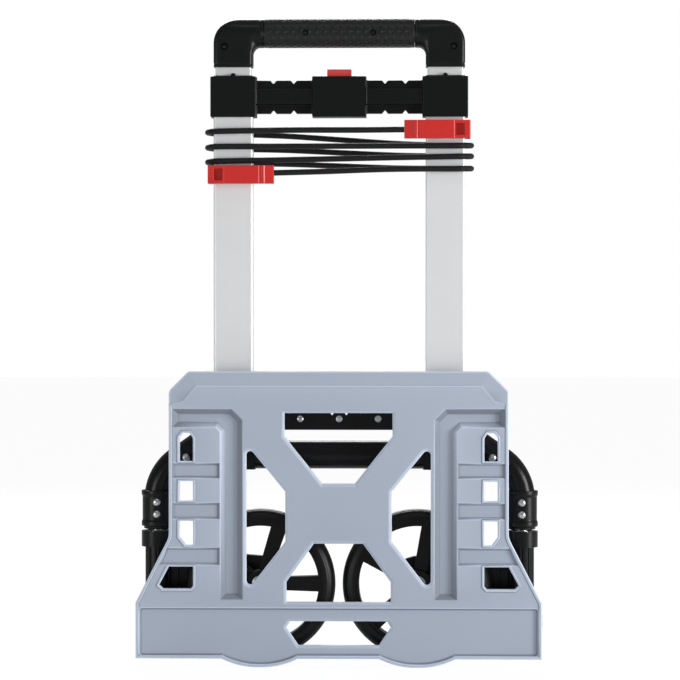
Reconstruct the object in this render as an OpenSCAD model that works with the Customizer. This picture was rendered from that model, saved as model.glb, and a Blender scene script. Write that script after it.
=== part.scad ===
// Folding luggage cart, folded flat with its handle pushed in.
// Millimetres, +Z up, +X to the right seen from the front, +Y to the back.
// The origin is on the floor, in the middle of the folded cart's width and depth.

/* [Toe plate] */
// Width of the plate at its hinge end
plate_base_w = 486; // [460:1:520]
// Width of the plate between its flared hinge end and its tip
plate_w = 406; // [390:1:420]
// Height of the folded plate's tip above the floor
plate_top = 354; // [345:1:360]
// Thickness of the plate
plate_t = 10; // [9:0.5:12]
// Cut-off corner at the plate's tip
plate_corner = 27; // [15:1:35]
// Thickness of the tray's walls
tray_wall = 4; // [3:0.5:5]
// Depth of the locating grooves
groove_d = 6.5; // [4:0.5:7]

/* [Wheels] */
// Wheel diameter over the tyre
wheel_d = 180; // [170:1:184]
// Width of the tyre
tyre_w = 30; // [24:1:32]
// Radial thickness of the tyre
tyre_t = 15; // [11:1:18]
// Distance from a leg's axis to its wheel's axle
arm_reach = 125.3; // [123:0.1:128]
// Number of spokes
spokes = 5; // [4:1:7]

/* [Frame] */
// Distance between the two legs' axes
leg_span = 439; // [430:1:450]
// Diameter of the steel shoulder tubes
shoulder_d = 33; // [30:1:34]
// Diameter of the steel cross tube
cross_d = 34; // [30:1:36]
// Wall of the steel tubes
steel_wall = 2; // [1.5:0.5:3]
// Distance between the centres of the two aluminium rails
rail_span = 255.4; // [240:0.1:270]
// Width of an outer rail
rail_w = 47.4; // [44:0.1:52]
// Depth of an outer rail
rail_d = 20; // [18:0.5:24]
// Wall of the aluminium rails
rail_wall = 1.8; // [1.5:0.1:2.5]
// Height of the lock housing's middle above the floor
lock_z = 683.5; // [640:0.5:720]

/* [Handle] */
// Height of the grip's middle above the floor with the handle in
grip_z = 760.3; // [750:0.1:780]
// Diameter of the grip
grip_d = 35; // [30:1:38]
// Length of the grip sleeve
grip_len = 181; // [150:1:190]
// Travel of the handle
handle_travel = 310; // [200:5:330]
// Travel of the release button
button_travel = 5; // [3:0.5:6]

/* [Elastic cord] */
// Diameter of the elastic cord
cord_d = 7; // [6:0.5:8]

/* [Hidden] */
sides = [-1, 1];
round_fn = 64;
fine_fn = 32;
run_gap = 0.3;            // gap between pieces that move past each other
seat_gap = 0.15;          // gap between a piece and the seat that holds it
pin_gap = 0.05;           // radial gap of a running pin

// Depth: everything is placed from the plane that holds the legs and the hinge.
hinge_z = 51.6;
wheel_r = wheel_d / 2;
use_floor = 8;                             // floor level once the wheels are out
wheel_z = use_floor + wheel_r;
plate_front = -(hinge_z - use_floor);      // underside of the plate, from the hinge plane
collar_r = shoulder_d / 2 + 3.5;
rear_reach = collar_r;                     // furthest piece behind the hinge plane
leg_y = (-plate_front - rear_reach) / 2;   // centres the folded cart on Y
plate_back = plate_front + plate_t;
leg_x = leg_span / 2;
rail_x = rail_span / 2;

// Toe plate
tray_top = 77;
tray_floor = 10.2;
tray_inner_top = 70;
tray_skirt = -5;
bulge_skirt = 2.5;
bulge_r = wheel_r + 15.6;
bulge_flat = 0.3;
bulge_z = bulge_r - bulge_flat;
flare_top = 161;
recess_d = 3.5;
recess_edge = 6;
ear_r = 14;
window_x = [174, 190];

// Hinge
pin_r = 5;
pin_head_r = 8;
pin_head_t = 2;
foot_r = 17;
foot_w = 30;

// Legs and arms
rod_r = 8;
collar_z = [166.2, 209.4];
arm_collar_z = [141.5, 160.5];
sleeve_r = 15.5;
sleeve_z = [72.5, arm_collar_z[0]];
flutes = 12;
shoulder_r = 57;
shoulder_z = 198.8;
shoulder_rise = 35.4;
diagonal_len = 76;
cross_z = 252.3;
arm_y = [3.6, 15.6];
hub_r = 17;
hub_w = 30;
wheel_y = -14;
axle_r = 6;
axle_back = 18;
rivet_r = 4.6;
spring_wire = 1.8;

// Rails
rail_r = 3;
rail_top = lock_z + 17;
rail_foot = 276;
slide_gap = 0.4;
inner_w = rail_w - 2 * rail_wall - 2 * slide_gap;
inner_d = rail_d - 2 * rail_wall - 2 * slide_gap;
plug_z = 322;
socket_z = [262, 340];
socket_wall = 3;
tie_z = [282.6, 304];

// Lock housing
lock_h = 49;
lock_x = 155;
lock_half_d = 15;
clamp_in = 100;
centre_half = 32.5;
beam_h = 18;
flange_h = 40;
flange_half_d = 5;
notch_x = [55, 79.5];
button_w = 29;
button_d = 13;
button_rise = 8.6;
bar_h = 9;
bar_t = 5;
lug_end = -button_travel - 1;                  // inner end of a lock bar at rest
lug_h = 6;
lug_x = lug_end - lug_h - 3;                   // foot of the lug's slope
wedge_tip = 1.5;
wedge_z = lock_z + 4;                          // tip of the button's finger at rest
wedge_x = lug_x + wedge_z - lock_z + 1.5 - wedge_tip - run_gap;
window_top = lock_z + lug_h + button_travel + 0.5;
bar_tip = rail_x - rail_w / 2 + rail_wall - 0.1;

// Handle
elbow_r = 29;
elbow_in_r = 8;
elbow_foot = 719;
elbow_w = rail_w;
grip_gap = 1.2;
core_r = 11;
elbow_screw = [10.3, -16.5];
grip_screw_x = 40.6;

// Elastic cord: levels of its turns round the left and the right rail, top to bottom.
cord_left = [641.9, 623.5, 606];
cord_right = [624.2, 611.3, 596.5];
hook_z = [643.9, 589.8];      // right hook, left hook
hook_h = 22;
hook_len = 79.5;
hook_t = 12;
hook_lip = 6;

// ---------- helpers ----------

// Points of an arc about c, from angle a to angle b.
function arc(c, r, a, b, n = 8) =
    [for (i = [0:n]) c + r * [cos(a + (b - a) * i / n), sin(a + (b - a) * i / n)]];

// A profile drawn in X and Z, from y0 back to y1 behind the hinge plane.
module slab(y0, y1) {
    translate([0, leg_y + y1, 0]) rotate([90, 0, 0]) linear_extrude(y1 - y0) children();
}

// A rod along X from x0 to x1, at depth y behind the hinge plane.
module rod_x(x0, x1, r, z, y = 0) {
    translate([x0, leg_y + y, z]) rotate([0, 90, 0]) cylinder(h = x1 - x0, r = r, $fn = round_fn);
}

// A rod along Y from y0 to y1.
module rod_y(y0, y1, r, x, z) {
    translate([x, leg_y + y1, z]) rotate([90, 0, 0]) cylinder(h = y1 - y0, r = r, $fn = round_fn);
}

// A rod along Z from z0 to z1.
module rod_z(z0, z1, r, x, y = 0) {
    translate([x, leg_y + y, z0]) cylinder(h = z1 - z0, r = r, $fn = round_fn);
}

// A box given by its low and high corners.
module block(low, high) {
    translate([low[0], leg_y + low[1], low[2]]) cube(high - low);
}

// Draws a left-hand piece, and mirrors it for the right.
module on_side(s) {
    if (s < 0) children();
    else mirror([1, 0, 0]) children();
}

// Rectangle with rounded corners, centred.
module round_rect(w, d, r) {
    polygon(concat(
        arc([w / 2 - r, d / 2 - r], r, 0, 90), arc([-w / 2 + r, d / 2 - r], r, 90, 180),
        arc([-w / 2 + r, -d / 2 + r], r, 180, 270), arc([w / 2 - r, -d / 2 + r], r, 270, 360)));
}

// Domed fastener head whose flat side is at y and whose dome points to the front.
module dome_y(x, z, y, r, h) {
    ball_r = (r * r + h * h) / (2 * h);
    intersection() {
        translate([x, leg_y + y - h + ball_r, z]) sphere(r = ball_r, $fn = round_fn);
        rod_y(y - h - 1, y, r, x, z);
    }
}

// Coil of round wire along Z.
module coil(r, wire_r, z0, z1, turns, steps = 14, ring = 8) {
    n = ceil(turns * steps);
    points = [for (i = [0:n], k = [0:ring - 1])
        let (a = 360 * turns * i / n, b = 360 * k / ring, q = r + wire_r * cos(b))
        [q * cos(a), q * sin(a), z0 + (z1 - z0) * i / n + wire_r * sin(b)]];
    walls = [for (i = [0:n - 1], k = [0:ring - 1])
        let (m = (k + 1) % ring)
        [i * ring + k, i * ring + m, (i + 1) * ring + m, (i + 1) * ring + k]];
    ends = [[for (k = [ring - 1:-1:0]) k], [for (k = [0:ring - 1]) n * ring + k]];
    polyhedron(points, concat(walls, ends), convexity = 10);
}

// ---------- toe plate ----------

// Outline of the tray at the plate's hinge end, drawn in by t.
function bulge_half(t) = sqrt(pow(bulge_r - t, 2) - pow(bulge_z - tray_floor - t, 2));
function bulge_angle(t) = acos(bulge_half(t) / (bulge_r - t));
function bulge(x, t) = arc([x, bulge_z], bulge_r - t, 180 + bulge_angle(t), 360 - bulge_angle(t), 14);
wheel_x = leg_x - arm_reach;
function tray_outline(t, top) = concat(
    [[-plate_base_w / 2 + t, top], [-plate_base_w / 2 + t, tray_floor + t]],
    bulge(-wheel_x, t), bulge(wheel_x, t),
    [[plate_base_w / 2 - t, tray_floor + t], [plate_base_w / 2 - t, top]]);

function mirrored(points) = [for (i = [len(points) - 1:-1:0]) [-points[i][0], points[i][1]]];

// Left edge of the plate, from its tip down to the tray.
plate_left = concat(
    arc([-plate_w / 2 + plate_corner, plate_top - 8], 8, 90, 135, 3),
    arc([-plate_w / 2 + 8, plate_top - plate_corner], 8, 135, 180, 3),
    arc([-plate_w / 2 - 24, flare_top], 24, 0, -26, 3));

module plate_profile() {
    polygon(concat(plate_left, tray_outline(0, tray_top), mirrored(plate_left)));
}

module upper_opening() {
    left = [[-19.5, 219.5], [-64.5, 276], [-64.5, 304]];
    polygon(concat(left, mirrored(left)));
}

module lower_opening() {
    left = [[-62.3, 78], [-62.3, 102], [-29.3, 147.8]];
    polygon(concat(left, mirrored(left)));
}

module tray_opening() {
    left = [[-48.2, 26.3], [-62.4, 47.5], [-58, 54.7]];
    polygon(concat(left, mirrored(left)));
}

// Side opening, left of the middle.
module side_opening() {
    polygon(concat(
        arc([-105.5, 103.5], 4.7, 180, 315, 5), [[-63.6, 150.2], [-63.6, 210]],
        arc([-105.5, 253.8], 4.7, 40, 180, 5)));
}

// The four windows at the left edge, bottom to top.
module edge_windows() {
    polygon([[-210, 93.8], [-177, 93.8], [-174, 97], [-174, 120.2], [-203, 120.2], [-215, 98]]);
    polygon([[-194, 146.5], [-174, 146.5], [-174, 175.6], [-190, 175.6], [-190, 156]]);
    polygon([[-190, 198.5], [-174, 198.5], [-174, 222.6], [-190, 222.6]]);
    polygon([[-190, 246.4], [-174, 246.4], [-174, 274], [-178, 280.2], [-186, 280.2], [-190, 275]]);
}

// L-shaped groove, drawn in by t: its long arm runs up the plate and turns out to the edge.
function groove(t) = [
    [-142 + t, 80.4 + t], [-114 - t, 80.4 + t], [-114 - t, 296.3 - 0.4 * t], [-127.4 - 0.4 * t, 309.7 - t],
    [-199.5 + t, 309.7 - t], [-199.5 + t, 286.4 + t], [-147 - 0.6 * t, 286.4 + t], [-142 + t, 281.4 - 0.6 * t]];

// Shallow bands between the windows: low and high edge, inner end and outer end.
bands = [[122, 143.2, -142, -206], [175.6, 196.8, -142, -199.5], [225.8, 244.3, -142, -199.5]];

module plate_openings() {
    upper_opening();
    lower_opening();
    tray_opening();
    for (s = sides) scale([-s, 1]) {
        side_opening();
        edge_windows();
    }
}

module plate_grooves() {
    for (s = sides) on_side(s) {
        slab(plate_front - 1, plate_front + groove_d / 2) polygon(groove(1.5));
        slab(plate_front - 1, plate_front + groove_d) polygon(groove(6));
        for (b = bands)
            slab(plate_front - 1, plate_front + 1.2)
                polygon([[b[3], b[0]], [b[2], b[0]], [b[2], b[1]], [b[3] + (b[0] < flare_top - 30 ? 6 : 0), b[1]]]);
    }
}

module toe_plate() {
    color("lightsteelblue") difference() {
        union() {
            slab(plate_front, plate_back) plate_profile();
            slab(plate_front, tray_skirt) difference() {
                polygon(tray_outline(0, tray_top));
                polygon(tray_outline(tray_wall, tray_top + 1));
            }
            for (s = sides) on_side(s) {
                slab(tray_skirt - 1, bulge_skirt) polygon(concat(bulge(-wheel_x, 0),
                    [for (i = [14:-1:0]) bulge(-wheel_x, tray_wall)[i]]));
                rod_x(-plate_base_w / 2, -plate_base_w / 2 + tray_wall, ear_r, hinge_z);
                block([-plate_base_w / 2, tray_skirt - 1, hinge_z - ear_r],
                    [-plate_base_w / 2 + tray_wall, 0, hinge_z + ear_r]);
            }
        }
        slab(plate_front - 1, plate_front + recess_d)
            polygon(tray_outline(recess_edge, tray_inner_top));
        slab(plate_front - 1, plate_back + 1) plate_openings();
        plate_grooves();
        for (s = sides) on_side(s)
            rod_x(-plate_base_w / 2 - 1, -plate_base_w / 2 + tray_wall + 1, pin_r + pin_gap, hinge_z);
        block([-plate_base_w, plate_front - 1, -5], [plate_base_w, bulge_skirt + 1, 0]);
    }
}

// ---------- hinge and legs ----------

module hinge_pin(s) {
    color("silver") on_side(s) {
        rod_x(-plate_base_w / 2 - pin_head_t, -plate_base_w / 2 - 0.1, pin_head_r, hinge_z);
        rod_x(-plate_base_w / 2 - 0.2, -leg_x + 6, pin_r, hinge_z);
    }
}

foot_top = sleeve_z[0] - 1;
module leg_foot(s) {
    color("dimgray") on_side(s) difference() {
        union() {
            rod_x(-leg_x - foot_w / 2, -leg_x + foot_w / 2, foot_r, hinge_z);
            rod_z(hinge_z, foot_top, foot_w / 2 - 1, -leg_x);
        }
        rod_x(-leg_x - foot_w, -leg_x + 6.5, pin_r + pin_gap, hinge_z);
        rod_z(hinge_z + pin_r + 2, foot_top + 1, rod_r + pin_gap, -leg_x);
    }
}

rod_foot = hinge_z + pin_r + 2.5;
rod_head = collar_z[0] + 34;
module pivot_rod(s) {
    color("silver") on_side(s) rod_z(rod_foot, rod_head, rod_r, -leg_x);
}

// The collar's mouth is wider, to let the tube's bend start inside it.
mouth = shoulder_r - sqrt(shoulder_r * shoulder_r - pow(collar_z[1] - shoulder_z, 2)) + 0.1;
module leg_collar(s) {
    tube_seat = collar_z[0] + 12;
    color("dimgray") on_side(s) difference() {
        union() {
            rod_z(collar_z[0], collar_z[1], collar_r - 0.8, -leg_x);
            rod_z(collar_z[0], collar_z[0] + 6, collar_r, -leg_x);
            rod_z(collar_z[1] - 6, collar_z[1], collar_r, -leg_x);
        }
        rod_z(tube_seat, shoulder_z, shoulder_d / 2 + seat_gap, -leg_x);
        rod_z(shoulder_z - 0.5, collar_z[1] + 1, shoulder_d / 2 + seat_gap + mouth, -leg_x);
        rod_z(collar_z[0] - 1, tube_seat + 1, rod_r + pin_gap, -leg_x);
    }
}

module collar_rivets() {
    color("silver") for (s = sides) on_side(s) for (z = [181, 195.6])
        dome_y(-leg_x, z, -collar_r + 0.8, rivet_r, 3);
}

// Spring wound round the rod between the collar and the arm.
module swing_spring(s) {
    color("silver") on_side(s) translate([-leg_x, leg_y, 0])
        coil(12, spring_wire / 2, arm_collar_z[1] - 2.2, collar_z[0] - 1.2, 2.5);
}

// ---------- steel tubes ----------

// Leg stub, bend and diagonal as one bar of radius r. Its straight ends are
// swaged thinner where they seat, and run on by more.
swage = 0.3;
module shoulder_bar(r, swaged = 0, more = 0) {
    bend_x = -leg_x + shoulder_r;
    rod_z(shoulder_z - 20 - more, shoulder_z, r - swaged, -leg_x);
    translate([bend_x, leg_y, shoulder_z]) rotate([90, 0, 0])
        rotate([0, 0, 90 + shoulder_rise])
            rotate_extrude(angle = 90 - shoulder_rise, $fn = round_fn)
                translate([shoulder_r, 0]) circle(r = r, $fn = round_fn);
    translate([bend_x - shoulder_r * sin(shoulder_rise), leg_y,
               shoulder_z + shoulder_r * cos(shoulder_rise)])
        rotate([0, 90 - shoulder_rise, 0])
            cylinder(h = diagonal_len + more, r = r - swaged, $fn = round_fn);
}

module shoulder_tube(s) {
    color("black") on_side(s) difference() {
        shoulder_bar(shoulder_d / 2, swage);
        shoulder_bar(shoulder_d / 2 - steel_wall, swage, 1);
        block([-rail_x - rail_w / 2 - seat_gap, -shoulder_d, rail_foot - seat_gap],
            [0, shoulder_d, rail_top]);
    }
}

// The cross tube stops against the two diagonals.
cross_half = leg_x - 26;
module cross_tube() {
    color("black") difference() {
        rod_x(-cross_half, cross_half, cross_d / 2, cross_z);
        rod_x(-cross_half - 1, cross_half + 1, cross_d / 2 - steel_wall, cross_z);
        for (s = sides) on_side(s) shoulder_bar(shoulder_d / 2 + seat_gap);
        for (s = sides) on_side(s)
            slab(-30, 30) polygon([[-190, 215], [-152, 215], [-175, 300], [-260, 300], [-260, 215]]);
    }
}

module cross_tube_rivets() {
    color("silver") for (s = sides) on_side(s)
        dome_y(-184.4, 249.6, -shoulder_d / 2 + 0.6, rivet_r, 3);
}

// ---------- wheel arms and wheels ----------

module arm_paddle() {
    polygon(concat(
        [[-leg_x, 78], [-leg_x + 16, 78]],
        arc([-wheel_x, wheel_z], 31, 262, 442, 10),
        [[-leg_x + 22, 137], [-leg_x + 10, 139], [-leg_x, 139]]));
}

module arm_pocket() {
    polygon(concat(
        [[-leg_x + 24, 86]], arc([-wheel_x, wheel_z], 22, 255, 285, 3),
        arc([-wheel_x, wheel_z], 22, 75, 105, 3), [[-leg_x + 24, 130]]));
}

module wheel_arm(s) {
    color("dimgray") on_side(s) difference() {
        union() {
            rod_z(sleeve_z[0], sleeve_z[1] + 0.5, sleeve_r, -leg_x);
            rod_z(arm_collar_z[0], arm_collar_z[1], collar_r, -leg_x);
            rod_y(wheel_y + hub_w / 2 + run_gap, arm_y[0] + 1, axle_r + 5, -wheel_x, wheel_z);
            difference() {
                slab(arm_y[0], arm_y[1]) arm_paddle();
                slab(arm_y[0] - 1, arm_y[0] + 5) difference() {
                    arm_pocket();
                    translate([-wheel_x, wheel_z]) circle(r = hub_r, $fn = fine_fn);
                }
            }
        }
        rod_z(sleeve_z[0] - 1, arm_collar_z[1] + 1, rod_r + pin_gap, -leg_x);
        rod_z(arm_collar_z[1] - 4, arm_collar_z[1] + 1, collar_r - 4.5, -leg_x);
        rod_y(wheel_y, arm_y[1] + 1, axle_r + seat_gap, -wheel_x, wheel_z);
        for (i = [0:flutes - 1])
            rod_z(sleeve_z[0] - 1, sleeve_z[1], 1.6,
                -leg_x + (sleeve_r + 0.4) * cos(i * 360 / flutes), (sleeve_r + 0.4) * sin(i * 360 / flutes));
    }
}

axle_front = wheel_y - hub_w / 2;
module axle(s) {
    color("silver") on_side(s) {
        rod_y(axle_front - 1.5, arm_y[1] + 0.5, axle_r, -wheel_x, wheel_z);
        rod_y(arm_y[1], axle_back, axle_r + 4, -wheel_x, wheel_z);
    }
}

tyre_bead_r = wheel_r - tyre_t;
rim_w = tyre_w - 6;
rim_in_r = tyre_bead_r - 5;
spoke_w = [15, 19];
spoke_t = 14;
spoke_start = [0, 6];      // first spoke's angle on the left and on the right wheel

// Draws a wheel piece about Z, then puts it in place with its axle along Y.
module at_wheel(s) {
    translate([s * wheel_x, leg_y + wheel_y, wheel_z]) rotate([90, 0, 0]) children();
}

module wheel_rim(s) {
    first = s < 0 ? spoke_start[0] : spoke_start[1];
    color("black") at_wheel(s) difference() {
        union() {
            difference() {
                translate([0, 0, -rim_w / 2]) cylinder(h = rim_w, r = tyre_bead_r, $fn = round_fn);
                translate([0, 0, -rim_w / 2 - 1]) cylinder(h = rim_w + 2, r = rim_in_r, $fn = round_fn);
            }
            translate([0, 0, -hub_w / 2]) cylinder(h = hub_w, r = hub_r, $fn = round_fn);
            for (i = [0:spokes - 1]) rotate([0, 0, first + i * 360 / spokes])
                translate([0, 0, -spoke_t / 2]) linear_extrude(spoke_t)
                    polygon([[hub_r - 4, -spoke_w[0] / 2], [rim_in_r + 1.5, -spoke_w[1] / 2],
                             [rim_in_r + 1.5, spoke_w[1] / 2], [hub_r - 4, spoke_w[0] / 2]]);
        }
        translate([0, 0, -hub_w / 2 - 1]) cylinder(h = hub_w + 2, r = axle_r + 3 + seat_gap, $fn = round_fn);
    }
}

module tyre(s) {
    color("black") at_wheel(s) rotate_extrude($fn = round_fn) difference() {
        union() {
            translate([wheel_r - tyre_w / 2, 0]) circle(r = tyre_w / 2, $fn = round_fn);
            translate([tyre_bead_r, -rim_w / 2]) square([tyre_t / 2, rim_w]);
        }
        translate([tyre_bead_r - wheel_r, -tyre_w]) square([wheel_r + 0.1, 2 * tyre_w]);
    }
}

module wheel_bush(s) {
    color("white") at_wheel(s) difference() {
        translate([0, 0, -hub_w / 2 + 0.2]) cylinder(h = hub_w - 0.4, r = axle_r + 3, $fn = round_fn);
        translate([0, 0, -hub_w / 2 - 1]) cylinder(h = hub_w + 2, r = axle_r + pin_gap, $fn = round_fn);
    }
}

// Push-on cap that keeps the wheel on its axle.
module hub_cap(s) {
    color("gray") on_side(s) difference() {
        rod_y(axle_front - 3, axle_front - run_gap, axle_r + 4.5, -wheel_x, wheel_z);
        rod_y(axle_front - 1.6, axle_front, axle_r + 0.02, -wheel_x, wheel_z);
    }
}

// ---------- aluminium rails ----------

module rail_section(w, d, r) {
    difference() {
        round_rect(w, d, r);
        round_rect(w - 2 * rail_wall, d - 2 * rail_wall, r - rail_wall + 0.6);
    }
}

module outer_rail(s) {
    color("gainsboro") on_side(s) difference() {
        translate([-rail_x, leg_y, rail_foot]) linear_extrude(rail_top - rail_foot)
            rail_section(rail_w, rail_d, rail_r);
        block([-rail_x, -bar_t / 2 - run_gap, lock_z - bar_h / 2 - run_gap],
            [-rail_x + rail_w, bar_t / 2 + run_gap, lock_z + bar_h / 2 + run_gap]);
    }
}

// Inner rail, with one locking hole for each stop of the handle.
stops = [0, 0.5, 1];
module inner_rail(s) {
    color("gainsboro") on_side(s) difference() {
        translate([-rail_x, leg_y, plug_z + 4]) linear_extrude(elbow_foot + 22 - plug_z - 4)
            rail_section(inner_w, inner_d, rail_r - 1);
        for (t = stops)
            block([-rail_x, -bar_t / 2 - run_gap, lock_z - t * handle_travel - bar_h / 2 - run_gap],
                [-rail_x + rail_w, bar_t / 2 + run_gap, lock_z - t * handle_travel + bar_h / 2 + run_gap]);
    }
}

// Glide plug in the inner rail's lower end.
module rail_plug(s) {
    color("dimgray") on_side(s) translate([-rail_x, leg_y, 0]) {
        translate([0, 0, plug_z]) linear_extrude(3.9) round_rect(inner_w, inner_d, rail_r - 1);
        translate([0, 0, plug_z + 3.8]) linear_extrude(16)
            round_rect(inner_w - 2 * rail_wall - 0.4, inner_d - 2 * rail_wall - 0.4, 1.2);
    }
}

// Socket that joins a rail's foot to the diagonal tube and the cross tube.
module rail_socket(s) {
    color("dimgray") on_side(s) difference() {
        translate([-rail_x, leg_y, socket_z[0] - 27]) linear_extrude(socket_z[1] - socket_z[0] + 27)
            round_rect(rail_w + 2 * socket_wall, shoulder_d + 4, 5);
        translate([-rail_x, leg_y, rail_foot]) linear_extrude(100)
            round_rect(rail_w + 2 * seat_gap, rail_d + 2 * seat_gap, rail_r);
        shoulder_bar(shoulder_d / 2 + seat_gap);
        rod_x(-cross_half - 1, 0, cross_d / 2 + seat_gap, cross_z);
    }
}

module socket_screws() {
    color("silver") for (s = sides) on_side(s) for (z = [302, 328])
        rod_y(-shoulder_d / 2 - 4.5, -shoulder_d / 2 - 2, 4.5, -rail_x, z);
}

tie_half = rail_x - rail_w / 2 - socket_wall;
module tie_bar() {
    color("black") slab(-12, -6) polygon(concat(
        [[-tie_half, tie_z[0]], [tie_half, tie_z[0]], [tie_half, tie_z[1]]],
        [for (x = [8.6, -8.6]) each [[x + 3, tie_z[1]], [x, tie_z[1] - 4], [x - 3, tie_z[1]]]],
        [[-tie_half, tie_z[1]]]));
}

module tie_bar_screws() {
    color("silver") for (x = [-47, 0, 47]) dome_y(x, 295.8, -12, 4.2, 2.4);
}

// ---------- lock housing ----------

module housing_profile() {
    left = [
        [-centre_half, lock_z - flange_h / 2], [-clamp_in, lock_z - flange_h / 2], [-clamp_in, lock_z - lock_h / 2],
        [-lock_x, lock_z - lock_h / 2], [-lock_x, lock_z + lock_h / 2], [-clamp_in, lock_z + lock_h / 2],
        [-clamp_in, lock_z + flange_h / 2]];
    notches = [for (x = [notch_x[1], notch_x[0]]) each
        [[-x - 3.6, lock_z + flange_h / 2], [-x, lock_z + flange_h / 2 - 4.4], [-x + 3.6, lock_z + flange_h / 2]]];
    low_notches = [for (x = [notch_x[0], notch_x[1]]) each
        [[-x + 3.6, lock_z - flange_h / 2], [-x, lock_z - flange_h / 2 + 4.4], [-x - 3.6, lock_z - flange_h / 2]]];
    half = concat([[0, lock_z - lock_h / 2], [-centre_half, lock_z - lock_h / 2], left[0]], low_notches,
        [for (i = [1:6]) left[i]], notches,
        [[-centre_half, lock_z + flange_h / 2], [-centre_half, lock_z + lock_h / 2], [0, lock_z + lock_h / 2]]);
    polygon(half);
}

// The whole housing as one block, before it is split and hollowed.
module housing_body() {
    for (s = sides) on_side(s) {
        slab(-flange_half_d, flange_half_d) housing_profile();
        block([-lock_x, -lock_half_d, lock_z - lock_h / 2], [-clamp_in, lock_half_d, lock_z + lock_h / 2]);
        block([-clamp_in - 1, -lock_half_d + 2, lock_z - beam_h / 2], [-centre_half + 1, lock_half_d - 2, lock_z + beam_h / 2]);
        block([-centre_half, -lock_half_d + 1, lock_z - lock_h / 2], [0.1, lock_half_d - 1, lock_z + lock_h / 2]);
    }
}

// Room inside for the rails, the bars, the button and its spring.
module housing_room() {
    for (s = sides) on_side(s) {
        translate([-rail_x, leg_y, 0]) {
            translate([0, 0, lock_z - lock_h]) linear_extrude(rail_top - lock_z + lock_h + 0.2)
                round_rect(rail_w + 2 * seat_gap, rail_d + 2 * seat_gap, rail_r);
            translate([0, 0, rail_top]) linear_extrude(40)
                round_rect(rail_w + 2 * seat_gap, rail_d + 2 * seat_gap, rail_r);
        }
        block([-bar_tip - 4, -bar_t / 2 - run_gap, lock_z - bar_h / 2 - run_gap],
            [0.1, bar_t / 2 + run_gap, lock_z + bar_h / 2 + run_gap]);
    }
    block([-button_w / 2 - run_gap, -button_d / 2 - run_gap, lock_z - 20],
        [button_w / 2 + run_gap, button_d / 2 + run_gap, lock_z + lock_h]);
}

split_y = 0;
module lock_housing_front() {
    color("black") difference() {
        housing_body();
        housing_room();
        block([-200, split_y, 0], [200, 50, 900]);
    }
}

module lock_housing_back() {
    color("black") difference() {
        housing_body();
        housing_room();
        block([-200, -50, 0], [200, split_y, 900]);
        for (x = housing_screw_x) rod_y(5, 30, 4.2, x, lock_z - 2);
    }
}

housing_screw_x = [-90, -24, 24, 90];
module lock_housing_screws() {
    color("silver") for (x = housing_screw_x) rod_y(5, 9, 4, x, lock_z - 2);
}

// Bush in the top of an outer rail that guides the inner rail.
module rail_bush(s) {
    bush_top = lock_z + lock_h / 2 + 1.2;
    color("black") on_side(s) difference() {
        union() {
            translate([-rail_x, leg_y, rail_top + 0.1]) linear_extrude(bush_top - rail_top - 0.1)
                round_rect(rail_w, rail_d, rail_r);
            difference() {
                rod_y(-rail_d / 2 - 1.5, -inner_d / 2 - 0.5, 2.8, -rail_x, bush_top);
                block([-rail_x - 5, -rail_d, bush_top - 5], [-rail_x + 5, 0, lock_z + lock_h / 2 + 0.05]);
            }
        }
        translate([-rail_x, leg_y, rail_top - 1]) linear_extrude(40)
            round_rect(inner_w + 2 * run_gap, inner_d + 2 * run_gap, rail_r - 1);
    }
}

// Button whose two 45 degree fingers draw the bars in.
module release_button() {
    top = lock_z + lock_h / 2 + button_rise;
    color("crimson") difference() {
        block([-button_w / 2, -button_d / 2, lock_z - bar_h / 2 - 6], [button_w / 2, button_d / 2, top]);
        difference() {
            block([-button_w / 2 - 1, -bar_t / 2 - run_gap, lock_z - bar_h / 2 - run_gap],
                [button_w / 2 + 1, bar_t / 2 + run_gap, window_top]);
            for (s = sides) on_side(s) slab(-bar_t, bar_t) polygon([
                [wedge_x, window_top + 1], [wedge_x, wedge_z], [wedge_x + wedge_tip, wedge_z],
                [wedge_x + wedge_tip + window_top + 1 - wedge_z, window_top + 1]]);
        }
        rod_z(lock_z - 20, lock_z - 7, 3.9, 0);
    }
}

module button_spring() {
    color("silver") translate([0, leg_y, 0]) coil(3, 0.5, lock_z - 19.3, lock_z - 7.6, 5, 10, 6);
}

// Bar that reaches into the rail. The button's finger pushes its sloped lug inward.
module lock_bar(s) {
    notch_x = wedge_x - button_travel - run_gap;
    color("silver") on_side(s) slab(-bar_t / 2, bar_t / 2) polygon([
        [-bar_tip, lock_z - bar_h / 2], [lug_end, lock_z - bar_h / 2], [lug_end, lock_z + lug_h],
        [lug_x + lug_h + 1.5, lock_z + lug_h], [lug_x, lock_z - 1.5], [notch_x, lock_z - 1.5],
        [notch_x, lock_z + bar_h / 2], [-bar_tip, lock_z + bar_h / 2]]);
}

// ---------- handle ----------

elbow_half = elbow_w / 2;
elbow_end = grip_len / 2 + grip_gap;
grip_top = grip_z + grip_d / 2;
grip_foot = grip_z - grip_d / 2;
module elbow_profile() {
    out_x = -rail_x - elbow_half;
    in_x = -rail_x + elbow_half;
    polygon(concat(
        [[out_x, elbow_foot]], arc([out_x + elbow_r, grip_top - elbow_r], elbow_r, 180, 90, 10),
        [[-elbow_end, grip_top], [-elbow_end, grip_foot]],
        arc([in_x + elbow_in_r, grip_foot - elbow_in_r], elbow_in_r, 90, 180, 6), [[in_x, elbow_foot]]));
}

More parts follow.
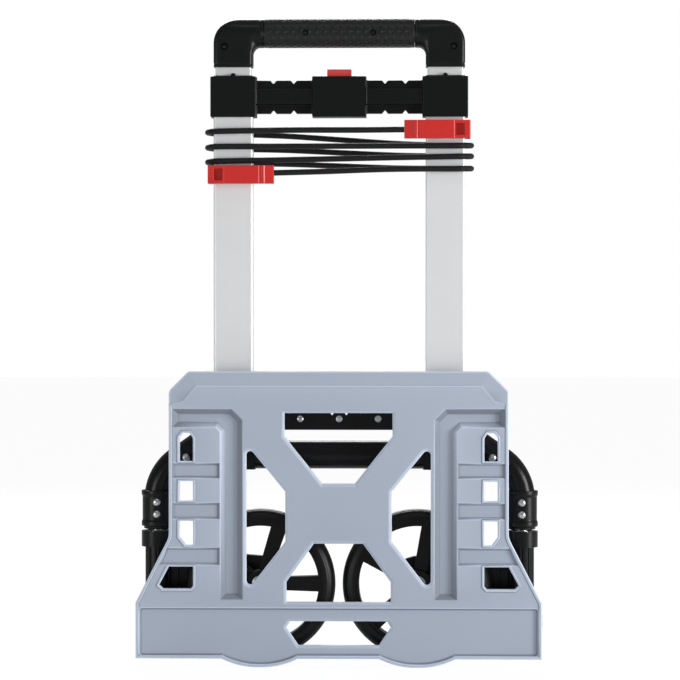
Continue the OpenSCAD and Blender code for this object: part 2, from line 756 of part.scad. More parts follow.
module handle_elbow(s) {
    color("black") on_side(s) difference() {
        slab(-grip_d / 2 + 1.5, grip_d / 2 - 1.5) elbow_profile();
        translate([-rail_x, leg_y, elbow_foot - 1]) linear_extrude(23.2)
            round_rect(inner_w + 2 * seat_gap, inner_d + 2 * seat_gap, rail_r - 1);
        rod_x(-core_half - 0.2, 0, core_r + seat_gap, grip_z);
        rod_y(-grip_d, -grip_d / 2 + 6, 4.2, -rail_x - elbow_screw[0], grip_z + elbow_screw[1]);
    }
}

core_half = rail_x;
module handle_core() {
    color("silver") difference() {
        rod_x(-core_half, core_half, core_r, grip_z);
        rod_x(-core_half - 1, core_half + 1, core_r - 2, grip_z);
    }
}

module grip_sleeve() {
    color("black") difference() {
        rod_x(-grip_len / 2, grip_len / 2, grip_d / 2, grip_z);
        rod_x(-grip_len, grip_len, core_r + seat_gap, grip_z);
        for (s = sides) rod_y(-grip_d, -core_r - 1.9, 3.7, s * grip_screw_x, grip_z);
    }
}

module handle_screws() {
    color("dimgray") {
        for (s = sides) rod_y(-core_r - 5, -core_r - 2, 3.6, s * grip_screw_x, grip_z);
        for (s = sides) on_side(s)
            rod_y(-grip_d / 2 + 3, -grip_d / 2 + 6, 4.1, -rail_x - elbow_screw[0], grip_z + elbow_screw[1]);
    }
}

// ---------- elastic cord ----------

cord_r = cord_d / 2;
cord_off = rail_d / 2 + cord_r + 1.9;      // depth of the strands before and behind the rails
cord_turn_x = rail_x + rail_w / 2 - 7.9;   // where a strand starts to bend round a rail

// Points round the outer edge of a rail, from the front to the back.
function wrap(s, z0, z1) = [for (a = [-90:22.5:90])
    [s * (cord_turn_x + cord_off * cos(a)), cord_off * sin(a), z0 + (z1 - z0) * (a + 90) / 180]];

// One turn: round the left rail to the back, across, round the right rail to the front.
function turn(i) = concat(
    wrap(-1, cord_left[i], cord_left[i] - 1.5),
    [for (x = [-70, 0, 70]) [x, cord_off, cord_left[i] + (cord_right[i] - cord_left[i]) * (x + 130) / 260]],
    [for (j = [8:-1:0]) wrap(1, cord_right[i], cord_right[i] + 1.5)[j]]);

// Front strand from the right to the next turn on the left.
function front_strand(z0, z1) = [for (x = [70, 0, -70]) [x, -cord_off, z0 + (z1 - z0) * (130 - x) / 260]];

hook_in = rail_x + rail_w / 2 + hook_lip + 0.4 - hook_len;   // where the cord enters a hook
cord_path = concat(
    [[hook_in - 0.1, -cord_off, hook_z[0] - 0.3]],
    [for (x = [20, -60]) [x, -cord_off, hook_z[0] - 0.8]],
    turn(0), front_strand(cord_right[0], cord_left[1]),
    turn(1), front_strand(cord_right[1], cord_left[2]),
    turn(2), [for (x = [60, -20]) [x, -cord_off, 594 + x / 30]],
    [[-hook_in + 0.1, -cord_off, hook_z[1] + 2]]);

function unit(v) = v / norm(v);

// Tube swept along points, with its rings square to the path.
module swept_tube(points, r, ring = 8) {
    n = len(points) - 1;
    rings = [for (i = [0:n])
        let (t = unit(points[min(i + 1, n)] - points[max(i - 1, 0)]), u = unit(cross(t, [0, 0, 1])), v = cross(u, t))
        for (k = [0:ring - 1]) points[i] + r * (cos(360 * k / ring) * u + sin(360 * k / ring) * v)];
    walls = [for (i = [0:n - 1], k = [0:ring - 1])
        let (m = (k + 1) % ring)
        [i * ring + k, (i + 1) * ring + k, (i + 1) * ring + m, i * ring + m]];
    ends = [[for (k = [0:ring - 1]) k], [for (k = [ring - 1:-1:0]) n * ring + k]];
    translate([0, leg_y, 0]) polyhedron(rings, concat(walls, ends), convexity = 10);
}

module elastic_cord() {
    color("black") swept_tube(cord_path, cord_r);
}

// Hook that lies on the front of a rail and grips its outer edge.
module hook_shape() {
    out_x = rail_x + rail_w / 2;
    difference() {
        union() {
            block([hook_in, -rail_d / 2 - 0.4 - hook_t, -hook_h / 2], [out_x + hook_lip + 0.4, -rail_d / 2 - 0.4, hook_h / 2]);
            block([out_x + 0.4, -rail_d / 2 - 1, -hook_h / 2], [out_x + hook_lip + 0.4, 2, hook_h / 2]);
        }
        block([out_x - 12, -rail_d / 2 - hook_t - 1, -6.5], [out_x - 0.5, -rail_d / 2 - 5, 6.5]);
        block([hook_in + 13, -rail_d / 2 - hook_t - 1, -hook_h], [hook_in + 17, -rail_d / 2 - hook_t + 1, hook_h]);
    }
}

module cord_hook_right() {
    color("red") translate([0, 0, hook_z[0]]) hook_shape();
}

module cord_hook_left() {
    color("red") translate([0, 0, hook_z[1]]) mirror([1, 0, 0]) hook_shape();
}

// ---------- assembly ----------

toe_plate();
hinge_pin(-1);  // hinge_pin_left
hinge_pin(1);  // hinge_pin_right
leg_foot(-1);  // leg_foot_left
leg_foot(1);  // leg_foot_right
pivot_rod(-1);  // pivot_rod_left
pivot_rod(1);  // pivot_rod_right
leg_collar(-1);  // leg_collar_left
leg_collar(1);  // leg_collar_right
collar_rivets();
shoulder_tube(-1);  // shoulder_tube_left
shoulder_tube(1);  // shoulder_tube_right
cross_tube();
cross_tube_rivets();
swing_spring(-1);  // swing_spring_left
swing_spring(1);  // swing_spring_right
wheel_arm(-1);  // wheel_arm_left
wheel_arm(1);  // wheel_arm_right
axle(-1);  // axle_left
axle(1);  // axle_right
wheel_rim(-1);  // wheel_rim_left
wheel_rim(1);  // wheel_rim_right
tyre(-1);  // tyre_left
tyre(1);  // tyre_right
wheel_bush(-1);  // wheel_bush_left
wheel_bush(1);  // wheel_bush_right
hub_cap(-1);  // hub_cap_left
hub_cap(1);  // hub_cap_right
outer_rail(-1);  // outer_rail_left
outer_rail(1);  // outer_rail_right
rail_socket(-1);  // rail_socket_left
rail_socket(1);  // rail_socket_right
socket_screws();
tie_bar();
tie_bar_screws();
lock_housing_front();
lock_housing_back();
lock_housing_screws();
rail_bush(-1);  // rail_bush_left
rail_bush(1);  // rail_bush_right
release_button();
button_spring();
lock_bar(-1);  // lock_bar_left
lock_bar(1);  // lock_bar_right
inner_rail(-1);  // inner_rail_left
inner_rail(1);  // inner_rail_right
rail_plug(-1);  // rail_plug_left
rail_plug(1);  // rail_plug_right
handle_elbow(-1);  // handle_elbow_left
handle_elbow(1);  // handle_elbow_right
handle_core();
grip_sleeve();
handle_screws();
elastic_cord();
cord_hook_left();
cord_hook_right();
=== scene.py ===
"""Looks of a folding luggage cart, standing folded on a pale studio floor."""
import math

import bmesh
import bpy
import numpy as np
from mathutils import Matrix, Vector
from mathutils.geometry import delaunay_2d_cdt


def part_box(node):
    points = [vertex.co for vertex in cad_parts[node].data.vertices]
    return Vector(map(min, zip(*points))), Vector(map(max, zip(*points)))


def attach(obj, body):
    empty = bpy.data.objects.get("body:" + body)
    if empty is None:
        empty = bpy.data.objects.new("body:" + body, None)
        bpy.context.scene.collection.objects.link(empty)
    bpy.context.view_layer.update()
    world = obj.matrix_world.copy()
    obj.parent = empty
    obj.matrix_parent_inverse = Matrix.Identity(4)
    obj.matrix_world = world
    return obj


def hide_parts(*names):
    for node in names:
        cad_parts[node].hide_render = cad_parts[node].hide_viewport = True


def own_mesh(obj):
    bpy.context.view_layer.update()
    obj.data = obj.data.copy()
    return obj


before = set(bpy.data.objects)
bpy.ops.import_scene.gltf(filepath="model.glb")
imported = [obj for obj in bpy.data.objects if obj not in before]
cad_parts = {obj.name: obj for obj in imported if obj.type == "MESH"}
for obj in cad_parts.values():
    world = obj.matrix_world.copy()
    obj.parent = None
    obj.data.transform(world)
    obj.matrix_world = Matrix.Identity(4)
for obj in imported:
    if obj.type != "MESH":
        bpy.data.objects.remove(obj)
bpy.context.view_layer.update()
scene = bpy.context.scene

# ---------------------------------------------------------------- studio
# A seamless pale sweep, a soft key lamp well round to the right, weak ones on
# the left, above and behind, and a long lens at the cart's mid height.
scene.view_settings.view_transform = "Standard"


def middle_of(node):
    """The middle of a CAD node's box."""
    low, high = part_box(node)
    return (low + high) / 2


hinge_y = middle_of("pivot_rod_left").y
look_at = Vector((0.0016, -0.02, 0.3912))
camera_turn, camera_rise, camera_far = math.radians(1.6), math.radians(0.9), 3.4
camera = bpy.data.objects.new("camera", bpy.data.cameras.new("camera"))
camera.location = look_at + camera_far * Vector((
    math.sin(camera_turn) * math.cos(camera_rise),
    -math.cos(camera_turn) * math.cos(camera_rise), math.sin(camera_rise)))
camera.rotation_euler = (look_at - camera.location).to_track_quat("-Z", "Y").to_euler()
camera.data.sensor_width = 36
camera.data.lens = 36 * camera_far / 0.8135
scene.collection.objects.link(camera)
scene.camera = camera


def soft_lamp(name, place, aim, size, watts):
    """A rectangular area lamp at place, turned to face aim."""
    lamp = bpy.data.objects.new(name, bpy.data.lights.new(name, "AREA"))
    lamp.data.shape = "RECTANGLE"
    lamp.data.size, lamp.data.size_y = size
    lamp.data.energy = watts
    lamp.location = place
    lamp.rotation_euler = (Vector(aim) - Vector(place)).to_track_quat("-Z", "Y").to_euler()
    scene.collection.objects.link(lamp)


soft_lamp("key_lamp", (3.0, -1.45, 0.6), (0, 0, 0.25), (1.0, 1.6), 96)
soft_lamp("fill_lamp", (-2.3, -2.2, 0.2), (0, 0, 0.3), (1.2, 1.0), 24)
soft_lamp("top_lamp", (0.1, -1.1, 2.6), (0, 0, 0.6), (1.6, 0.6), 4)
soft_lamp("back_lamp", (-0.3, 2.1, 1.9), (0, 0, 0.4), (1.6, 1.0), 48)


def new_material(name):
    """An empty node material; returns it with its node and link lists."""
    made = bpy.data.materials.new(name)
    made.use_nodes = True
    made.node_tree.nodes.clear()
    return made, made.node_tree.nodes, made.node_tree.links


def several(put, *kinds):
    """A new shader node of each kind."""
    return [put("ShaderNode" + kind) for kind in kinds]


def preset(node, **values):
    """The node with its named inputs set; a _ stands for each space."""
    for label, value in values.items():
        node.inputs[label.replace("_", " ")].default_value = value
    return node


sky = bpy.data.worlds.new("sweep")
scene.world = sky
sky.use_nodes = True
sky.node_tree.nodes.clear()
tie = sky.node_tree.links.new
seen, shown, glow, dim, either, out = several(
    sky.node_tree.nodes.new, "LightPath", "Math", "Background", "Background", "MixShader", "OutputWorld")
shown.operation = "MAXIMUM"
preset(glow, Color=(1, 1, 1, 1))
preset(dim, Color=(0.97, 0.98, 1, 1), Strength=0.27)
tie(seen.outputs["Is Camera Ray"], shown.inputs[0])
tie(seen.outputs["Is Transmission Ray"], shown.inputs[1])
tie(shown.outputs[0], either.inputs[0])
tie(dim.outputs[0], either.inputs[1])
tie(glow.outputs[0], either.inputs[2])
tie(either.outputs[0], out.inputs[0])

floor_mesh = bpy.data.meshes.new("floor")
floor_mesh.from_pydata([(-9, -5, 0), (9, -5, 0), (9, 12, 0), (-9, 12, 0)], [], [(0, 1, 2, 3)])
floor = bpy.data.objects.new("floor", floor_mesh)
scene.collection.objects.link(floor)
paper, nodes, links = new_material("sweep_paper")
seen, share, matt, lit, both, out = several(
    nodes.new, "LightPath", "Math", "BsdfDiffuse", "Emission", "MixShader", "OutputMaterial")
share.operation = "MULTIPLY"
share.inputs[1].default_value = 0.9
preset(matt, Color=(0.93, 0.93, 0.93, 1))
preset(lit, Color=(1, 1, 1, 1), Strength=1.05)
links.new(seen.outputs["Is Camera Ray"], share.inputs[0])
links.new(share.outputs[0], both.inputs[0])
links.new(matt.outputs[0], both.inputs[1])
links.new(lit.outputs[0], both.inputs[2])
links.new(both.outputs[0], out.inputs[0])
floor_mesh.materials.append(paper)

# ---------------------------------------------------------------- elastic cord
# A rubber core in a braided black sleeve, 7 mm thick. It is wound round both
# rails under light pull, and each end is clamped inside a red hook.
cord_thick = 0.007


def circle(n):
    """n angles evenly round a circle, from 0."""
    return np.linspace(0, 2 * np.pi, n, endpoint=False)


def placed(name, mesh):
    """A piece with this mesh, smooth shaded, in the scene."""
    mesh.polygons.foreach_set("use_smooth", np.ones(len(mesh.polygons), bool))
    piece = bpy.data.objects.new(name, mesh)
    scene.collection.objects.link(piece)
    return piece


def swept_tube(path, radius, around, name):
    """Tube of round section about a path: each ring is the path's point plus
    radius times (cos b * side + sin b * up), square to the path. The UV map
    holds the distance along the path and the share of the way round."""
    path = np.asarray(path, float)
    along = np.gradient(path, axis=0)
    along /= np.linalg.norm(along, axis=1)[:, None]
    side = np.cross(along, (0.0, 0.0, 1.0))
    side /= np.linalg.norm(side, axis=1)[:, None]
    up = np.cross(side, along)
    b = circle(around)
    rings = (path[:, None] + radius * (np.cos(b)[None, :, None] * side[:, None]
                                       + np.sin(b)[None, :, None] * up[:, None]))
    count = len(path)
    i, k = np.meshgrid(np.arange(count - 1), np.arange(around), indexing="ij")
    after = (k + 1) % around
    walls = np.stack([i * around + k, (i + 1) * around + k,
                      (i + 1) * around + after, i * around + after], -1).reshape(-1, 4)[:, ::-1]
    mesh = bpy.data.meshes.new(name)
    caps = [tuple(range(around)), tuple(range(count * around - 1, (count - 1) * around - 1, -1))]
    mesh.from_pydata(rings.reshape(-1, 3).tolist(), [], walls.tolist() + caps)
    far = np.r_[0, np.cumsum(np.linalg.norm(np.diff(path, axis=0), axis=1))]
    corner = np.zeros((len(mesh.loops), 2))
    lengths = np.stack([far[i], far[i + 1], far[i + 1], far[i]], -1).reshape(-1, 4)[:, ::-1]
    shares = np.stack([k, k, k + 1, k + 1], -1).reshape(-1, 4)[:, ::-1] / around
    corner[:walls.size] = np.stack([lengths.ravel(), shares.ravel()], -1)
    mesh.uv_layers.new(name="sleeve").data.foreach_set("uv", corner.ravel())
    return placed(name, mesh)


def smooth_line(points, step):
    """Points every step along a Catmull-Rom line through the given ones."""
    p = np.asarray(points, float)
    p = np.vstack([2 * p[0] - p[1], p, 2 * p[-1] - p[-2]])
    made = []
    for a, b, c, d in zip(p, p[1:], p[2:], p[3:]):
        n = max(2, int(np.linalg.norm(c - b) / step))
        t = np.linspace(0, 1, n, endpoint=False)[:, None]
        made.append(0.5 * (2 * b + (c - a) * t + (2 * a - 5 * b + 4 * c - d) * t ** 2
                           + (3 * b - a - 3 * c + d) * t ** 3))
    return np.vstack(made + [p[-2][None]])


rail_low, rail_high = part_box("outer_rail_right")
strand_off = (rail_high.y - rail_low.y) / 2 + cord_thick / 2 + 0.0019
turn_x = rail_high.x - 0.0079
left_turns, right_turns = (0.6419, 0.6235, 0.606), (0.6242, 0.6113, 0.5965)
hook_heights = [middle_of("cord_hook_" + side).z for side in ("right", "left")]
hook_low, hook_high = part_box("cord_hook_right")
hook_mouth = hook_low.x


def round_rail(s, low, high):
    """Half circle round a rail's outer edge, from the front to the back."""
    a = np.radians(np.arange(-90, 91, 22.5))
    return np.stack([s * (turn_x + strand_off * np.cos(a)), strand_off * np.sin(a),
                     low + (high - low) * (np.degrees(a) + 90) / 180], -1)


def full_turn(i):
    """Round the left rail to the back, across, and round the right rail."""
    x = np.array([-0.07, 0, 0.07])
    across = np.stack([x, x * 0 + strand_off,
                       left_turns[i] + (right_turns[i] - left_turns[i]) * (x + 0.13) / 0.26], -1)
    return np.vstack([round_rail(-1, left_turns[i], left_turns[i] - 0.0015), across,
                      round_rail(1, right_turns[i], right_turns[i] + 0.0015)[::-1]])


def front_strand(high, low):
    """From the right rail across the front to the next turn on the left."""
    x = np.array([0.07, 0, -0.07])
    return np.stack([x, x * 0 - strand_off, high + (low - high) * (0.13 - x) / 0.26], -1)


cord_route = np.vstack([
    [[hook_mouth - 0.0001, -strand_off, hook_heights[0] - 0.0003],
     [0.02, -strand_off, hook_heights[0] - 0.0008], [-0.06, -strand_off, hook_heights[0] - 0.0008]],
    full_turn(0), front_strand(right_turns[0], left_turns[1]),
    full_turn(1), front_strand(right_turns[1], left_turns[2]),
    full_turn(2), [[0.06, -strand_off, 0.596], [-0.02, -strand_off, 0.59333],
                   [-hook_mouth + 0.0001, -strand_off, hook_heights[1] + 0.002]]])
cord_route[:, 1] += hinge_y
cord_line = smooth_line(cord_route, 0.0026)
elastic = swept_tube(cord_line, cord_thick / 2, 16, "elastic_sleeve")


def effect(name, takes, gives):
    """An empty shader node group with the named inputs and outputs."""
    group = bpy.data.node_groups.new(name, "ShaderNodeTree")
    for label, start in takes:
        socket = group.interface.new_socket(name=label, in_out="INPUT", socket_type="NodeSocketFloat")
        socket.default_value = start
    for label in gives:
        group.interface.new_socket(name=label, in_out="OUTPUT", socket_type="NodeSocketFloat")
    return (group, group.nodes.new, group.links.new,
            group.nodes.new("NodeGroupInput"), group.nodes.new("NodeGroupOutput"))


# Braid: two families of strands cross at 45 degrees and pass over and under.
braid, put, tie, given, result = effect(
    "braid", [("Along", 330.0), ("Around", 8.0)],
    ["Height"])
place, split = several(put, "UVMap", "SeparateXYZ")
place.uv_map = "sleeve"
tie(place.outputs[0], split.inputs[0])


def sum_of(put, tie, kind, *terms):
    """The output of a math node of that kind; its terms are sockets or numbers."""
    node = put("ShaderNodeMath")
    node.operation = kind
    for n, value in enumerate(terms):
        if isinstance(value, (int, float)):
            node.inputs[n].default_value = value
        else:
            tie(value, node.inputs[n])
    return node.outputs[0]


lengthwise = sum_of(put, tie, "MULTIPLY", split.outputs["X"], given.outputs["Along"])
crosswise = sum_of(put, tie, "MULTIPLY", split.outputs["Y"], given.outputs["Around"])
one_way = sum_of(put, tie, "FRACT", sum_of(put, tie, "ADD", lengthwise, crosswise))
other_way = sum_of(put, tie, "FRACT", sum_of(put, tie, "SUBTRACT", lengthwise, crosswise))
hump_a = sum_of(put, tie, "PINGPONG", one_way, 0.5)
hump_b = sum_of(put, tie, "PINGPONG", other_way, 0.5)
tie(sum_of(put, tie, "MAXIMUM", hump_a, hump_b), result.inputs["Height"])


def surface(nodes, links, color, roughness, **sockets):
    """A Principled shader joined to the output, with its plain values set."""
    shader = nodes.new("ShaderNodeBsdfPrincipled")
    preset(shader, Base_Color=(*color, 1), Roughness=roughness, **sockets)
    links.new(shader.outputs[0], nodes.new("ShaderNodeOutputMaterial").inputs[0])
    return shader


def use(nodes, group, **values):
    """Places a node group and sets its inputs."""
    node = nodes.new("ShaderNodeGroup")
    node.node_tree = group
    return preset(node, **values)


def relief(nodes, links, height, shader, depth):
    """Feeds a height to the shader as a bump of that depth in metres."""
    bump = preset(nodes.new("ShaderNodeBump"), Distance=depth, Strength=1.0)
    links.new(height, bump.inputs["Height"])
    links.new(bump.outputs[0], shader.inputs["Normal"])


def shade_between(nodes, links, mask, low, high, socket):
    """Feeds a socket with the colour that lies between low and high by mask."""
    mix = nodes.new("ShaderNodeMix")
    mix.data_type = "RGBA"
    preset(mix, A=(*low, 1), B=(*high, 1))
    links.new(mask, mix.inputs["Factor"])
    links.new(mix.outputs["Result"], socket)


sleeve_cloth, nodes, links = new_material("braided_sleeve")
shader = surface(nodes, links, (0.006, 0.006, 0.007), 0.5, Specular_IOR_Level=0.25, Sheen_Weight=0.03)
woven = use(nodes, braid, Along=330.0, Around=8.0)
shade_between(nodes, links, woven.outputs["Height"], (0.003, 0.003, 0.0035), (0.016, 0.016, 0.017),
              shader.inputs["Base Color"])
relief(nodes, links, woven.outputs["Height"], shader, 0.0006)


def fit(piece, material, body, slot, *nodes):
    """Gives a piece its material and its body, and hides the nodes it stands for. slot is not used."""
    piece.data.materials.append(material)
    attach(piece, body)
    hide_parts(*nodes)


fit(elastic, sleeve_cloth, "frame", "cord_fabric", "elastic_cord")

# ---------------------------------------------------------------- cord hooks
# Red glossy mouldings. The block at the cord's end is grooved for the thumb,
# the plain plate lies on the rail, and the outer lip grips the rail's edge.


def even_out(piece):
    """The piece with its normals weighted by the areas of its faces."""
    weight = piece.modifiers.new("weight", "WEIGHTED_NORMAL")
    weight.keep_sharp, weight.weight = True, 60
    return piece


def smoothed(name, node, radius):
    """A copy of a CAD node's mesh with its doubles merged, its flat faces
    joined and its edges rounded to the given radius."""
    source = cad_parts[node].data
    place = np.empty(len(source.vertices) * 3)
    source.vertices.foreach_get("co", place)
    corner = np.empty(len(source.loops), int)
    source.loops.foreach_get("vertex_index", corner)
    points, same = np.unique(np.round(place.reshape(-1, 3), 6), axis=0, return_inverse=True)
    faces = same.ravel()[corner].reshape(-1, 3)
    faces = faces[(faces[:, 0] != faces[:, 1]) & (faces[:, 1] != faces[:, 2]) & (faces[:, 0] != faces[:, 2])]
    mesh = bpy.data.meshes.new(name)
    mesh.from_pydata(points.tolist(), [], faces.tolist())
    work = bmesh.new()
    work.from_mesh(mesh)
    bmesh.ops.dissolve_limit(work, angle_limit=math.radians(0.6), use_dissolve_boundaries=False,
                             verts=work.verts, edges=work.edges)
    work.to_mesh(mesh)
    work.free()
    piece = placed(name, mesh)
    edge = piece.modifiers.new("edge", "BEVEL")
    edge.limit_method, edge.angle_limit = "ANGLE", math.radians(32)
    edge.width, edge.segments, edge.harden_normals = radius, 3, False
    return even_out(piece)


# Fine moulded grain, a slow change of shade and a dusting of scuffs.
grain, put, tie, given, result = effect(
    "moulded_grain", [("Size", 900.0), ("Scuffs", 0.5)],
    ["Height", "Shade", "Scuff"])
place, cells, cloud, nicks, rare = several(put, "TexCoord", "TexVoronoi", "TexNoise", "TexNoise", "MapRange")
cells.feature = "SMOOTH_F1"
preset(cloud, Scale=9.0, Detail=3.0)
preset(nicks, Scale=260.0, Detail=6.0)
for texture in (cells, cloud, nicks):
    tie(place.outputs["Object"], texture.inputs["Vector"])
tie(given.outputs["Size"], cells.inputs["Scale"])
tie(cells.outputs["Distance"], result.inputs["Height"])
tie(cloud.outputs["Fac"], result.inputs["Shade"])
preset(rare, From_Min=0.6, From_Max=0.78)
tie(nicks.outputs["Fac"], rare.inputs["Value"])
tie(sum_of(put, tie, "MULTIPLY", rare.outputs[0], given.outputs["Scuffs"]), result.inputs["Scuff"])


def patterned(name, group, takes, mask, dark, light, roughness, spread, depth, sockets):
    """A material between two shades by the group's Shade, with its Height as
    relief, and rougher by up to spread where its mask output is high."""
    made, nodes, links = new_material(name)
    shader = surface(nodes, links, light, roughness, **sockets)
    pattern = use(nodes, group, **takes)
    shade_between(nodes, links, pattern.outputs["Shade"], dark, light, shader.inputs["Base Color"])
    rough = preset(nodes.new("ShaderNodeMapRange"), To_Min=roughness, To_Max=min(1.0, roughness + spread))
    links.new(pattern.outputs[mask], rough.inputs["Value"])
    links.new(rough.outputs[0], shader.inputs["Roughness"])
    relief(nodes, links, pattern.outputs["Height"], shader, depth)
    return made


def moulded(name, dark, light, roughness, size, depth, **sockets):
    """Moulded plastic between two close shades, with a fine grain and scuffs."""
    return patterned(name, grain, {"Size": size, "Scuffs": 0.3}, "Scuff", dark, light, roughness, 0.35, depth,
                     sockets)


def softened(outline, r, steps=4):
    """A closed outline with each corner replaced by a parabola that leaves its
    two sides r before and r after the corner, or at 0.45 of a short side."""
    p = np.asarray(outline, float)
    back, on = np.roll(p, 1, 0) - p, np.roll(p, -1, 0) - p
    back_len, on_len = np.linalg.norm(back, axis=1)[:, None], np.linalg.norm(on, axis=1)[:, None]
    a = p + back / back_len * np.minimum(r, 0.45 * back_len)
    b = p + on / on_len * np.minimum(r, 0.45 * on_len)
    t = np.linspace(0, 1, steps)[None, :, None]
    return ((1 - t) ** 2 * a[:, None] + 2 * t * (1 - t) * p[:, None] + t * t * b[:, None]).reshape(-1, 2)


def closed_mesh(name, points, faces, sharp=38.0):
    """A closed mesh in metres with its doubles merged and its faces turned outwards."""
    mesh = bpy.data.meshes.new(name)
    mesh.from_pydata(points.tolist(), [], faces)
    work = bmesh.new()
    work.from_mesh(mesh)
    bmesh.ops.remove_doubles(work, verts=work.verts, dist=1e-6)
    bmesh.ops.recalc_face_normals(work, faces=work.faces)
    work.to_mesh(mesh)
    work.free()
    piece = placed(name, mesh)
    mesh.set_sharp_from_angle(angle=math.radians(sharp))
    return even_out(piece)


mm = 0.001
hook_plastic = moulded("hook_red", (0.60, 0.020, 0.017), (0.67, 0.028, 0.023), 0.34, 600.0, 0.00002)
well_half, well_ends, well_floor = 7.0, (61.6, 72.4), -15.4
hook_half = (hook_high.z - hook_low.z) / 2 / mm
hook_outline = softened([
    (0, -20.2), (10.6, -21.2), (12.2, -22.4), (15.4, -22.4), (16.0, -21.5), (17.6, -21.5), (18.2, -22.4),
    (59.6, -22.4), (60.4, -21.8), (78.6, -21.8), (79.5, -20.6), (79.5, 2.0), (73.5, 2.0), (73.5, -10.4),
    (0, -10.4)], 0.7)


def drawn_up(name, outline, half, height, s):
    """A prism: the outline of (distance along the hook, depth) at height - half
    and at height + half, with s -1 for the left rail and 1 for the right."""
    outline = np.asarray(outline, float)
    n = len(outline)
    x = s * (hook_mouth + outline[:, 0] * mm)
    y = hinge_y + outline[:, 1] * mm
    rings = [np.stack([x, y, np.full(n, height + e * half * mm)], -1) for e in (-1, 1)]
    walls = [(k, (k + 1) % n, (k + 1) % n + n, k + n) for k in range(n)]
    return closed_mesh(name, np.vstack(rings), walls + [tuple(range(n)), tuple(range(n, 2 * n))])


def cut_away(piece, tool, sharp=38.0):
    """The piece less the tool, which is then removed."""
    less = piece.modifiers.new("less", "BOOLEAN")
    less.operation, less.solver, less.object = "DIFFERENCE", "EXACT", tool
    made = bpy.data.meshes.new_from_object(piece.evaluated_get(bpy.context.evaluated_depsgraph_get()))
    piece.modifiers.clear()
    piece.data = made
    bpy.data.objects.remove(tool)
    made.polygons.foreach_set("use_smooth", np.ones(len(made.polygons), bool))
    made.set_sharp_from_angle(angle=math.radians(sharp))


for s, side, level in ((-1, "left", hook_heights[1]), (1, "right", hook_heights[0])):
    hook = drawn_up("hook_" + side, hook_outline, hook_half, level, s)
    hook.modifiers.clear()
    well = [(well_ends[0], -30), (well_ends[1], -30), (well_ends[1], well_floor), (well_ends[0], well_floor)]
    cut_away(hook, drawn_up("hook_well", well, well_half, level, s))
    edge = hook.modifiers.new("edge", "BEVEL")
    edge.limit_method, edge.angle_limit = "ANGLE", math.radians(40)
    edge.width, edge.segments = 0.0008, 3
    hook.modifiers.new("weight", "WEIGHTED_NORMAL").keep_sharp = True
    fit(hook, hook_plastic, "frame", "hook_plastic", "cord_hook_" + side)

# ---------------------------------------------------------------- toe plate
# One blue-grey moulding. Its underside faces forwards: thin raised rims, an
# L-shaped groove on each side that nests on the legs, shallow bands between
# the windows, and a tray at the hinge end whose two lobes pass round the wheels.
plate_low, plate_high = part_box("toe_plate")
base_half, side_half, plate_top = plate_high.x / mm, 203.0, plate_high.z / mm
tyre_low, tyre_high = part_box("tyre_right")
wheel_x, wheel_r = middle_of("tyre_right").x / mm, (tyre_high.z - tyre_low.z) / 2 / mm
lobe_r, tray_foot, tray_top, hinge_z = wheel_r + 15.6, 10.2, 77.0, 51.6
lobe_z = lobe_r - 0.3
lobe_half = math.sqrt(lobe_r ** 2 - (lobe_z - tray_foot) ** 2)
slab_deep, skirt_deep, lobe_deep, hinge_deep, ear_r = 10.0, 38.6, 46.1, 43.6, 14.0
face_deep, groove_deep, band_deep, tray_deep, edge_r = 1.0, 6.5, 2.4, 3.0, 1.6
edge_rim, window_rim, hole_bevel, bevel_deep = 4.1, 3.4, 3.4, 0.9


def arc(x, z, r, start, end, n=6):
    """Points at (x, z) plus r times (cos a, sin a), with a from start to end in degrees."""
    a = np.radians(np.linspace(start, end, n + 1))
    return np.stack([x + r * np.cos(a), z + r * np.sin(a)], -1)


def mirrored(loop):
    """The loop with its x turned round and its order kept the same way round."""
    return np.asarray(loop, float)[::-1] * (-1, 1)


def lobe(x, t):
    """The tray's round edge under a wheel at x, drawn in by t."""
    half = math.sqrt((lobe_r - t) ** 2 - (lobe_z - tray_foot - t) ** 2)
    lean = math.degrees(math.acos(half / (lobe_r - t)))
    return np.maximum(arc(x, lobe_z, lobe_r - t, 180 + lean, 360 - lean, 18), (-999, 0))


def tray_line(side, foot, top):
    """The tray's edge from top left round the foot to top right, drawn in by side and foot."""
    return np.vstack([[[-base_half + side, top], [-base_half + side, tray_foot + foot]],
                      lobe(-wheel_x, foot), lobe(wheel_x, foot),
                      [[base_half - side, tray_foot + foot], [base_half - side, top]]])


plate_left = np.vstack([arc(-side_half + 27, plate_top - 8, 8, 90, 135, 4),
                        arc(-side_half + 8, plate_top - 27, 8, 135, 180, 4),
                        arc(-side_half - 24, 161, 24, 0, -26, 4)])
plate_edge = np.vstack([plate_left, tray_line(0, 0, tray_top), mirrored(plate_left)])
tray_wall = tray_line(0, 0, tray_top)
side_hole = np.vstack([arc(-105.5, 103.5, 4.7, 180, 315, 6), [[-63.6, 150.2], [-63.6, 210]],
                       arc(-105.5, 253.8, 4.7, 40, 180, 6)])
middle_holes = [np.array(h, float) for h in (
    [(-64.5, 304), (-64.5, 276), (-19.5, 219.5), (19.5, 219.5), (64.5, 276), (64.5, 304)],
    [(-62.3, 78), (62.3, 78), (62.3, 102), (29.3, 147.8), (-29.3, 147.8), (-62.3, 102)],
    [(-48.2, 26.3), (48.2, 26.3), (62.4, 47.5), (58, 54.7), (-58, 54.7), (-62.4, 47.5)])]
